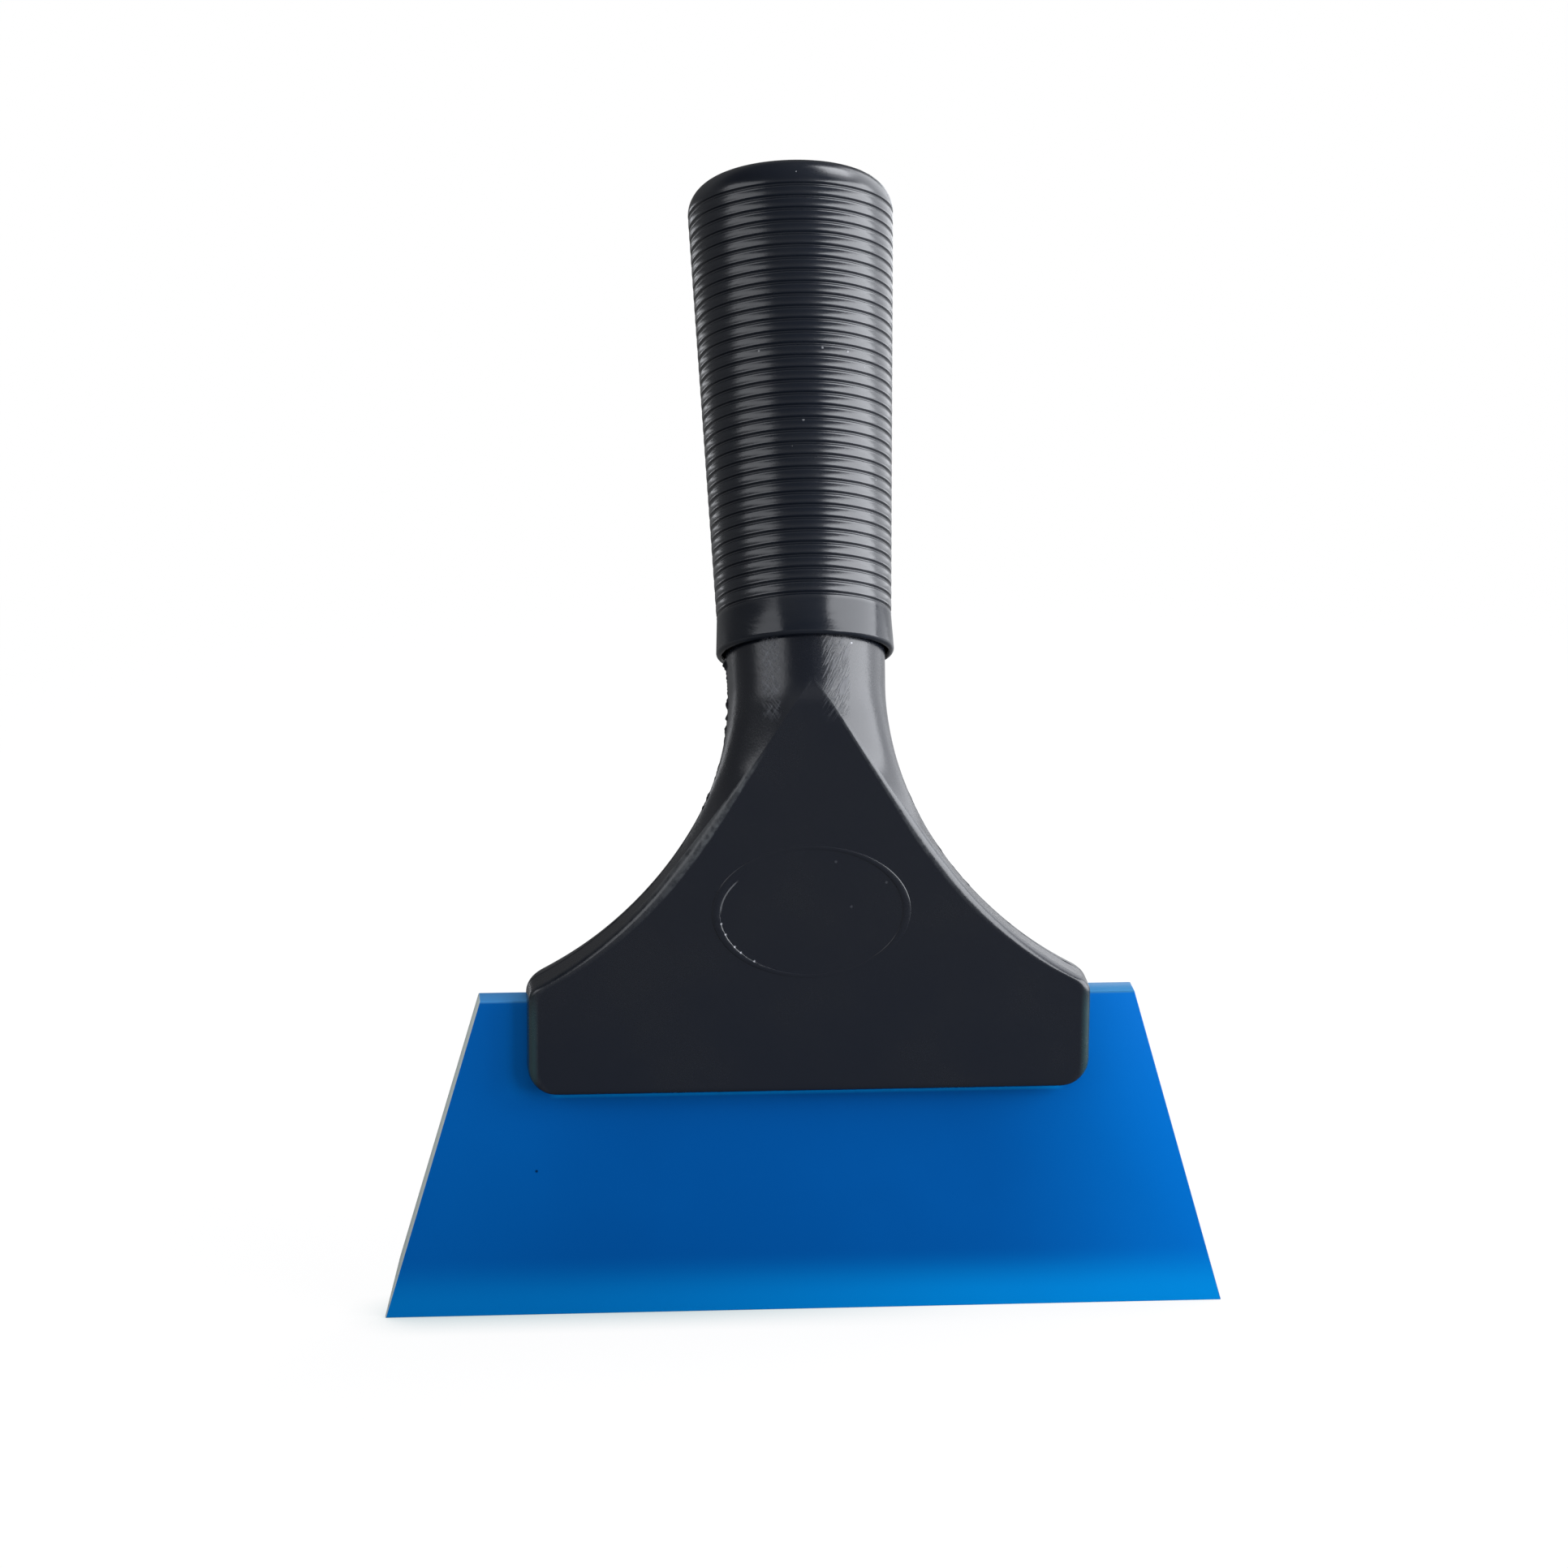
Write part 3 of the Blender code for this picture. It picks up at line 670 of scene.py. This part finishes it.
def makeShell(face, side):
    sections, crease = [], []
    places = headOutline()
    ceiling = next(i for i in range(len(places)) if places[i] == places[i + 1])
    for number, (width, distance) in enumerate(places):
        sections.append(shellSection(width, distance, face, side, number <= ceiling))
        share = min(max((head["faceTip"] - distance) / head["creaseFade"], 0), 1)
        half = [0.0] * head["flankSteps"] + [share] * (head["edgeSteps"] + 1) + [0.0]
        crease += half + half[::-1]
    return wrapSkin(sections, crease)


ring = {
    "halfWidth": 16.3 * mm,
    "halfHeight": 11.2 * mm,
    "side": 1.4 * mm,
    "top": 0.7 * mm,
    "rise": 0.10 * mm,
    "sunk": 0.05 * mm,
    "height": 70 * mm,
    # share of the bead's width and of its rise
    "profile": ((0.0, 0.0), (0.05, 0.55), (0.12, 0.95), (0.5, 1.0), (0.88, 0.95), (0.95, 0.55), (1.0, 0.0)),
    "crisp": (math.radians(20), math.radians(195)),  # where it is least worn
    "leastRise": 0.15,
    "dotted": (math.radians(-150), math.radians(35)),  # middle and half of the dotted stretch
    "dots": (1.1, 1.9, 0.61),  # their strength, and the two rhythms that space them
    "segments": 160,
}


def makeOvalRing():
    # a thin raised bead with a round crest, sunk a little into the face
    deselectAll()
    bpy.ops.mesh.primitive_circle_add(vertices=ring["segments"], radius=1, rotation=(math.pi / 2, 0, 0))
    bead = bpy.context.object
    settle(bead, Matrix.Identity(4))
    openForEdit(bead)
    bpy.ops.mesh.select_all(action="SELECT")
    for step in ring["profile"][1:]:
        bpy.ops.mesh.extrude_region_move()
    bpy.ops.object.mode_set(mode="OBJECT")
    face = middleY - head["halfDepth"]
    dotMiddle, dotHalf = ring["dotted"]
    strength, quick, slow = ring["dots"]
    for number, vertex in enumerate(bead.data.vertices):
        share, tall = ring["profile"][number // ring["segments"]]
        around = math.atan2(vertex.co.z, vertex.co.x)
        worn = max(*(math.cos(around - crisp) for crisp in ring["crisp"]), ring["leastRise"])
        if share > 0.5 and abs(around - dotMiddle) < dotHalf:
            worn *= 1 + strength * math.sin(number * quick) * math.sin(number * slow)
        rise = ring["rise"] * worn * tall
        vertex.co = ((ring["halfWidth"] - ring["side"] * share) * math.cos(around),
                     face - rise + ring["sunk"] * (rise <= 0),
                     ring["height"] + (ring["halfHeight"] - ring["top"] * share) * math.sin(around))
    openForEdit(bead)
    pickOpenEdges()
    bpy.ops.mesh.bridge_edge_loops()
    closeEdit(bead, smoothAngle=60)
    return bead


flash = {
    "near": 0.02 * mm,  # depths from the middle of the seam
    "crest": 0.06 * mm,
    "far": 0.12 * mm,
    "rootFar": 0.14 * mm,
    "root": 0.5 * mm,
    "least": 0.03 * mm,
    "step": 0.25 * mm,
    "underGrip": 0.2 * mm,
    "shoulder": 0.6,  # share of a fin's height where its crest begins
    "seeds": (32.37, 27.28),
    "bumps": (900, 2600),  # to the metre, of the coarse and of the fine noise
    "fineShare": 0.6,
    "lift": 0.35,
    "sharpness": 1.5,
    # side, start, end and height of each ragged stretch
    "ragged": [(-1, 96 * mm, 112 * mm, 0.55 * mm), (-1, 84 * mm, 94 * mm, 0.3 * mm),
               (1, 57.8 * mm, 59.4 * mm, 0.75 * mm), (1, 60 * mm, 90 * mm, 0.14 * mm),
               (-1, 58 * mm, 84 * mm, 0.12 * mm)],
}


def flashHeight(side, distance):
    coarse, fine = flash["seeds"]
    coarseBumps, fineBumps = flash["bumps"]
    tall = flash["least"]
    for sign, low, high, size in flash["ragged"]:
        if sign == side and low < distance < high:
            ease = math.sin(math.pi * (distance - low) / (high - low)) ** 0.5
            rough = noise.noise(Vector((coarse + side, distance * coarseBumps, 0))) + flash["lift"]
            rough += noise.noise(Vector((fine + side, distance * fineBumps, 5))) * flash["fineShare"]
            tall += size * ease * max(rough, 0) ** flash["sharpness"]
    return tall


def makeFlash():
    # a thin ragged fin of plastic along each seam of the front shell
    last = gripMouth - flash["underGrip"]
    places = [p for p in headOutline() if head["shoulderHeight"] < p[1] < last] + [(stemRadius(last), last)]
    fine = []
    for (lowWidth, low), (highWidth, high) in zip(places, places[1:]):
        steps = max(int((high - low) / flash["step"]), 1)
        fine += [(lowWidth + (highWidth - lowWidth) * i / steps, low + (high - low) * i / steps)
                 for i in range(steps)]
    fins = []
    for side in (-1, 1):
        sections = []
        for width, distance in fine:
            tall, root = flashHeight(side, distance), width - flash["root"]
            y, z, lean = middleLine(distance)
            shoulder = width + tall * flash["shoulder"]
            loop = ((root, flash["near"]), (shoulder, flash["near"]), (width + tall, flash["crest"]),
                    (shoulder, flash["far"]), (root, flash["rootFar"]))
            sections.append([(side * x, y - depth * math.cos(lean), z + depth * math.sin(lean))
                             for x, depth in loop])
        skin = wrapSkin(sections)
        closeEdit(skin, smoothAngle=40)
        fins.append(skin)
    return fins


print("shells")
plastic = mouldedPlastic()
frontShell = makeShell(faceOfFront, -1)
closeEdit(frontShell, "frontShell")
joinInto(frontShell, [makeOvalRing(), *makeFlash()])
dress(frontShell, "front_shell", plastic)

screws = {
    "places": (-31 * mm, 0.0, 31 * mm),
    "height": 46.9 * mm,
    "underside": 4.4 * mm,
    "headRadius": 3 * mm,
    "headHeight": 1.9 * mm,
    "domeDrop": 0.6 * mm,
    # inward and upward steps of the domed head
    "domeSteps": ((0.25 * mm, 0.12 * mm), (0.35 * mm, 0.28 * mm), (0.6 * mm, 0.16 * mm),
                  (0.9 * mm, 0.12 * mm)),
    "crossLength": 3.4 * mm,
    "crossWidth": 0.8 * mm,
    "crossDepth": 1.2 * mm,
    "crossTaper": 0.45,
    "radius": 1.5 * mm,
    "length": 9 * mm,
    "clearance": 0.3 * mm,
    "cutReach": 12 * mm,
    "pitch": 0.9 * mm,
    "rootShare": 0.74,
    "coreShare": 0.78,
    "toothShares": (0.42, 0.16, 0.42),  # of the pitch, for the tooth's rise, crest and fall
    "turns": 8,
    "threadSteps": 24,
    "tipSteps": ((0.3 * mm, 0.3 * mm), (0.3 * mm, 0.2 * mm)),
}


def addRod(name, x, near, far, radius, vertices=64):
    # a round rod along Y between two depths from the middle line
    deselectAll()
    bpy.ops.mesh.primitive_cylinder_add(vertices=vertices, radius=radius, depth=far - near,
                                        location=(x, middleY + (near + far) / 2, screws["height"]),
                                        rotation=(math.pi / 2, 0, 0))
    tool = bpy.context.object
    tool.name = name
    settle(tool, Matrix.Identity(4))
    return tool


backShell = makeShell(faceOfBack, 1)
closeEdit(backShell, "backShell")
holes = []
seatFloor = screws["underside"] - screws["clearance"]
for number, x in enumerate(screws["places"]):
    holes.append(addRod(f"hole{number}", x, 0, screws["cutReach"], screws["radius"] + screws["clearance"]))
    holes.append(addRod(f"seat{number}", x, seatFloor, screws["cutReach"],
                        screws["headRadius"] + screws["clearance"]))
cutWith(backShell, holes, 32)
dress(backShell, "back_shell", plastic)


# Clamp screws

def makeScrew():
    deselectAll()
    bpy.ops.mesh.primitive_cylinder_add(vertices=64, radius=screws["headRadius"], depth=screws["headHeight"],
                                        location=(0, 0, screws["headHeight"] / 2))
    screw = bpy.context.object
    settle(screw, Matrix.Identity(4))
    openForEdit(screw)
    pickFaces(screw, lambda c: c.z > screws["headHeight"] * 0.99)
    bpy.ops.transform.translate(value=(0, 0, -screws["domeDrop"]))
    for inward, upward in screws["domeSteps"]:
        bpy.ops.mesh.inset(thickness=inward, depth=upward)
    closeEdit(screw, smoothAngle=40)
    tools = []
    for turn in (0, math.pi / 2):
        deselectAll()
        bpy.ops.mesh.primitive_cube_add(size=1, location=(0, 0, screws["headHeight"]))
        wing = bpy.context.object
        wing.name = f"wing{int(turn * 10)}"
        wing.scale = (screws["crossLength"], screws["crossWidth"], 2 * screws["crossDepth"])
        wing.rotation_euler = (0, 0, turn)
        bpy.context.view_layer.update()
        settle(wing, Matrix.Identity(4))
        openForEdit(wing)
        pickFaces(wing, lambda c: c.z < screws["headHeight"] - screws["crossDepth"] / 2)
        bpy.ops.transform.resize(value=(screws["crossTaper"], screws["crossTaper"], 1))
        closeEdit(wing)
        tools.append(wing)
    cutWith(screw, tools, 35)

    # the thread: a small tooth wound down the shank
    deselectAll()
    bpy.ops.mesh.primitive_plane_add(size=1)
    thread = bpy.context.object
    openForEdit(thread)
    bpy.ops.mesh.merge(type="CENTER")
    root, crest, pitch = screws["radius"] * screws["rootShare"], screws["radius"], screws["pitch"]
    bpy.ops.transform.translate(value=(root, 0, -screws["length"] + 0.2 * mm))
    for along, radius in zip(screws["toothShares"], (crest, crest, root)):
        shape = bmesh.from_edit_mesh(thread.data)
        outward = radius - next(v for v in shape.verts if v.select).co.x
        bpy.ops.mesh.extrude_region_move(TRANSFORM_OT_translate={"value": (outward, 0, pitch * along)})
    bpy.ops.object.mode_set(mode="OBJECT")
    wind = thread.modifiers.new("wind", "SCREW")
    wind.steps = wind.render_steps = screws["threadSteps"]
    wind.screw_offset = pitch
    wind.iterations = screws["turns"]
    wind.use_merge_vertices = True
    wind.merge_threshold = 0.00002
    applyAll(thread)
    openForEdit(thread)
    closeEdit(thread, smoothAngle=40)
    deselectAll()
    bpy.ops.mesh.primitive_cylinder_add(vertices=48, radius=screws["radius"] * screws["coreShare"],
                                        depth=screws["length"] - 0.6 * mm,
                                        location=(0, 0, -screws["length"] / 2 + 0.4 * mm))
    core = bpy.context.object
    settle(core, Matrix.Identity(4))
    openForEdit(core)
    pickFaces(core, lambda c: c.z < -screws["length"] * 0.9)
    for inward, downward in screws["tipSteps"]:
        bpy.ops.mesh.inset(thickness=inward, depth=downward)
    closeEdit(core, smoothAngle=30)
    joinInto(screw, [thread, core])
    return screw


print("screws")
steel = platedSteel()
firstScrew = makeScrew()
for name, x in zip(("Left", "Middle", "Right"), screws["places"]):
    screw = firstScrew if name == "Left" else firstScrew.copy()
    if screw is not firstScrew:
        screw.data = spare.copy()
        bpy.context.scene.collection.objects.link(screw)
    else:
        spare = screw.data.copy()
    screw.name = screw.data.name = "clampScrew" + name
    upright = Matrix.Translation((x, middleY + screws["underside"], screws["height"]))
    turned = Matrix.Rotation(x * 40 + 0.4, 4, "Z")  # each screw ends at a turn of its own
    settle(screw, upright @ Matrix.Rotation(-math.pi / 2, 4, "X") @ turned)
    dress(screw, "clamp_screw_" + name.lower(), steel)


# The blade

blade = {
    "edgeWidth": 140 * mm,
    "backWidth": 108 * mm,
    "height": 54.5 * mm,
    "thickness": 5 * mm,
    "bevelHeight": 9 * mm,
    "edgeThickness": 0.8 * mm,
    "softEdge": 0.16 * mm,
    "holeRadius": 3.8 * mm,
}


def makeBlade():
    deselectAll()
    bpy.ops.mesh.primitive_cube_add(size=1, location=(0, middleY, blade["height"] / 2))
    plate = bpy.context.object
    plate.scale = (blade["edgeWidth"], blade["thickness"], blade["height"])
    bpy.context.view_layer.update()
    settle(plate, Matrix.Identity(4))
    openForEdit(plate)
    pickFaces(plate, lambda c: c.z > blade["height"] * 0.9)
    bpy.ops.transform.resize(value=(blade["backWidth"] / blade["edgeWidth"], 1, 1))
    bpy.ops.mesh.select_all(action="SELECT")
    fall = blade["thickness"] - blade["edgeThickness"]
    bpy.ops.mesh.bisect(plane_co=(0, middleY + blade["thickness"] / 2 - fall, 0),
                        plane_no=Vector((0, blade["bevelHeight"], -fall)).normalized(),
                        use_fill=True, clear_outer=True)
    bpy.ops.mesh.select_mode(type="EDGE")
    bpy.ops.mesh.select_all(action="SELECT")
    bpy.ops.mesh.bevel(offset=blade["softEdge"], segments=3, profile=0.5)
    closeEdit(plate, "scraperBlade", 25)
    reach = blade["thickness"] * 0.8
    tools = [addRod(f"bladeHole{number}", x, -reach, reach, blade["holeRadius"])
             for number, x in enumerate(screws["places"])]
    cutWith(plate, tools, 25)
    return plate


print("blade")
bladePiece = makeBlade()
dress(bladePiece, "blade", castUrethane())


# The rubber grip

grip = {
    "bandRadius": 14.58 * mm,
    "waistRadius": 14.36 * mm,  # where the band meets the ribs
    "endRadius": 17.14 * mm,
    "length": 80.95 * mm,
    "shoulderRadius": 5 * mm,
    "capRim": 1 * mm,
    "lipRadius": 0.7 * mm,
    "bandLength": 6.4 * mm,
    "ribs": 34,
    "pitch": 2.077 * mm,
    "grooveWidth": 0.64 * mm,
    "grooveDepth": 0.4 * mm,
    "land": 0.24 * mm,
    # share of half a groove across it, and share of its depth
    "grooveShape": ((-1.25, 0.0), (-1.0, 0.08), (-0.7, 0.55), (-0.35, 0.95), (0.0, 1.0),
                    (0.35, 0.95), (0.7, 0.55), (1.0, 0.08), (1.25, 0.0)),
    "crown": 0.06 * mm,
    "clearance": 0.3 * mm,
    # outward from the bore, and height
    "mouthChamfer": ((0.5 * mm, 0), (0.3 * mm, 0.25 * mm), (0, 0.9 * mm)),
    "shoulderSteps": 12,
    "ribSteps": 6,
    "lipSteps": 6,
    "segments": 128,
}


def gripProfile():
    # radius and height, from the middle of the closed end down the ribs and back up the bore
    topGroove = grip["length"] - grip["shoulderRadius"] - grip["land"] - grip["grooveWidth"] / 2

    def crest(height):
        share = min(max((height - grip["bandLength"]) / (topGroove - grip["bandLength"]), 0), 1)
        return grip["waistRadius"] + (grip["endRadius"] - grip["waistRadius"]) * share

    points = [(0, grip["length"]),
              (grip["endRadius"] - grip["shoulderRadius"] - grip["capRim"], grip["length"])]
    for step in range(grip["shoulderSteps"] + 1):
        angle = math.pi / 2 * step / grip["shoulderSteps"]
        points.append((grip["endRadius"] - grip["shoulderRadius"] * (1 - math.sin(angle)),
                       grip["length"] - grip["shoulderRadius"] * (1 - math.cos(angle))))
    half = grip["grooveWidth"] / 2
    brim = half * grip["grooveShape"][-1][0]
    for number in range(grip["ribs"]):
        middle = topGroove - number * grip["pitch"]
        for share, depth in grip["grooveShape"]:
            height = middle - share * half
            radius = crest(height) - grip["grooveDepth"] * depth - grip["crown"] * (depth == 0)
            points.append((radius, height))
        if number < grip["ribs"] - 1:
            low, high = middle - grip["pitch"] + brim, middle - brim
            for step in range(1, grip["ribSteps"]):
                share = step / grip["ribSteps"]
                height = high + (low - high) * share
                bulge = 1 - (2 * share - 1) ** 2
                points.append((crest(height) - grip["crown"] * (1 - bulge), height))
    for step in range(grip["lipSteps"] + 1):
        angle = math.pi / 2 * step / grip["lipSteps"]
        points.append((grip["bandRadius"] - grip["lipRadius"] * (1 - math.cos(angle)),
                       grip["lipRadius"] * (1 - math.sin(angle))))
    bore = stemRadius(gripMouth) + grip["clearance"]
    points += [(bore + outward, height) for outward, height in grip["mouthChamfer"]]
    top = stemEnd - gripMouth
    points += [(stemRadius(stemEnd - handle["stemChamfer"]) + grip["clearance"], top - handle["stemChamfer"]),
               (stemRadius(stemEnd) - handle["stemChamfer"] + grip["clearance"], top + grip["clearance"]),
               (0, top + grip["clearance"])]
    return points


def makeGrip():
    # one point drawn out along the profile, then spun about the grip's own axis
    points = gripProfile()
    deselectAll()
    bpy.ops.mesh.primitive_plane_add(size=1)
    sleeve = bpy.context.object
    openForEdit(sleeve)
    bpy.ops.mesh.merge(type="CENTER")
    bpy.ops.transform.translate(value=(points[0][0], 0, points[0][1]))
    for (fromX, fromZ), (toX, toZ) in zip(points, points[1:]):
        bpy.ops.mesh.extrude_region_move(TRANSFORM_OT_translate={"value": (toX - fromX, 0, toZ - fromZ)})
    bpy.ops.mesh.select_all(action="SELECT")
    bpy.ops.mesh.spin(steps=grip["segments"], angle=2 * math.pi, center=(0, 0, 0), axis=(0, 0, 1))
    closeEdit(sleeve, "gripSleeve", 50)
    y, z, lean = middleLine(gripMouth)
    settle(sleeve, Matrix.Translation((0, y, z)) @ Matrix.Rotation(-lean, 4, "X"))
    return sleeve


print("grip")
gripPiece = makeGrip()
dress(gripPiece, "grip_sleeve", ribbedRubber())


# Studio

studio = {
    "camera": (-74.747 * mm, -827.295 * mm, 305.699 * mm),  # y is counted from the middle of the blade
    "yaw": math.radians(4.88),
    "pitch": math.radians(14.57),
    "roll": math.radians(0.44),
    "lens": 120.87,
    "worldLight": 0.5,
    "worldGloss": (0.30, 0.04),  # near the horizon and overhead
    "leftGloss": 0.45,
    "floorShare": 0.92,  # how much of the floor's white is its own, with the rest left to show the shadow
    "paper": (0.98, 0.98, 0.98),
    "shadow": (0.1, 0.3, 0.34),
    "contactReach": 9.5 * mm,
    "aim": (0, 0, 110 * mm),
    "lampTint": (0.975, 0.995, 1.04),
    # azimuth from the front towards the right, elevation, distance, width, height, brightness
    "lamps": {
        "rightWall": (67, 14, 0.92, 1.34, 0.70, 5.6),
        "rightHigh": (112, 52, 0.92, 0.70, 0.40, 1.7),
        "rightTop": (122, 55, 0.90, 0.42, 0.34, 3.8),
        "rightRear": (128, 15, 0.92, 0.80, 0.88, 1.6),
        "rightFar": (162, 1, 0.92, 0.24, 0.20, 1.4),
        "leftWall": (-66, 28, 0.92, 0.78, 0.36, 1.65),
        "leftRear": (-145, -4.6, 0.92, 0.42, 0.046, 1.9),
    },
}


def addCamera():
    yaw, pitch, roll = studio["yaw"], studio["pitch"], studio["roll"]
    forward = Vector((math.sin(yaw) * math.cos(pitch), math.cos(yaw) * math.cos(pitch), -math.sin(pitch)))
    right = Vector((math.cos(yaw), -math.sin(yaw), 0))
    up = right.cross(forward)
    rightTurned = right * math.cos(roll) + up * math.sin(roll)
    upTurned = up * math.cos(roll) - right * math.sin(roll)
    camera = bpy.data.objects.new("camera", bpy.data.cameras.new("camera"))
    bpy.context.scene.collection.objects.link(camera)
    turn = Matrix((rightTurned, upTurned, -forward)).transposed().to_4x4()
    x, y, z = studio["camera"]
    camera.matrix_world = Matrix.Translation((x, middleY + y, z)) @ turn
    camera.data.lens = studio["lens"]
    camera.data.sensor_width = 36
    bpy.context.scene.camera = camera


def addLamp(name, azimuth, elevation, distance, width, height, brightness):
    lamp = bpy.data.objects.new(name, bpy.data.lights.new(name, "AREA"))
    bpy.context.scene.collection.objects.link(lamp)
    lamp.data.shape = "RECTANGLE"
    lamp.data.size, lamp.data.size_y = width, height
    lamp.data.energy = brightness * math.pi * width * height
    lamp.data.color = studio["lampTint"]
    around, over = math.radians(azimuth), math.radians(elevation)
    way = Vector((math.sin(around) * math.cos(over), -math.cos(around) * math.cos(over), math.sin(over)))
    lamp.matrix_world = (Matrix.Translation(Vector(studio["aim"]) + way * distance)
                         @ (-way).to_track_quat("-Z", "Y").to_matrix().to_4x4())
    lamp.visible_camera = False


def addFloor():
    # white to the camera apart from the shadow, and a dimmer paper to the light that it throws back
    deselectAll()
    bpy.ops.mesh.primitive_plane_add(size=8, location=(0, 0, 0))
    floor = bpy.context.object
    floor.name = "floor"
    material, paper, place = newMaterial("floorPaper")
    floor.data.materials.append(material)
    x, y, z = axes(place)
    camera, glossy, through = rayKinds(place)
    beside = x.step(0.09, 0.30) * y.step(-0.30, -0.08)
    behind = y.step(0.05, 0.25) * x.step(-0.03, 0.10)
    dim = beside.most(behind) * 0.4 + 0.10 + x.step(-0.06, -0.35, 0.0, 0.1)
    connect(paper, "Base Color", camera.blend(dim.tinted((1, 1, 1)), studio["paper"]))
    paper.inputs["Roughness"].default_value = 0.9
    paper.inputs["Specular IOR Level"].default_value = 0.0
    far = (x * x + y * y).step(0.05, 0.30, studio["floorShare"], 1.0)
    contact = place.node("ShaderNodeAmbientOcclusion", {"samples": 8},
                         {"Distance": studio["contactReach"]}, "AO")
    contact = (1 - (1 - contact) * x.step(38 * mm, -25 * mm, 0.06, 0.84)).most(0.0)
    tint = contact.blend(studio["shadow"], (1, 1, 1))
    white = place.node("ShaderNodeEmission", {}, {"Color": tint, "Strength": 1.0})
    share = (camera * far + through + glossy * 0.05).least(1.0)
    mixed = place.node("ShaderNodeMixShader", {}, {0: share, 1: Wire(place.tree, paper.outputs[0]), 2: white})
    connect(place.tree.nodes["Material Output"], "Surface", mixed)


def lightWorld():
    # white to the camera, soft to the object, and darker overhead in the object's reflections
    world = bpy.data.worlds.new("studio")
    bpy.context.scene.world = world
    world.use_nodes = True
    start = Wire(world.node_tree)
    camera, glossy, through = rayKinds(start)
    across, along, height = axes(start.node("ShaderNodeTexCoord", {}, {}, "Generated"))
    reflected = height.step(0.3, 0.7, *studio["worldGloss"]) * along.step(0.6, 0.95, 1.0, 0.3)
    reflected = reflected * across.step(-0.8, -0.3, studio["leftGloss"], 1.0)
    seen = (camera + through).least(1.0)
    strength = seen + (1 - seen) * (glossy * reflected + (1 - glossy) * studio["worldLight"])
    background = start.node("ShaderNodeBackground", {}, {"Color": (1, 1, 1, 1), "Strength": strength})
    connect(start.tree.nodes["World Output"], "Surface", background)


print("studio")
addCamera()
addFloor()
lightWorld()
for name, settings in studio["lamps"].items():
    addLamp(name, *settings)
bpy.context.scene.view_settings.view_transform = "Standard"
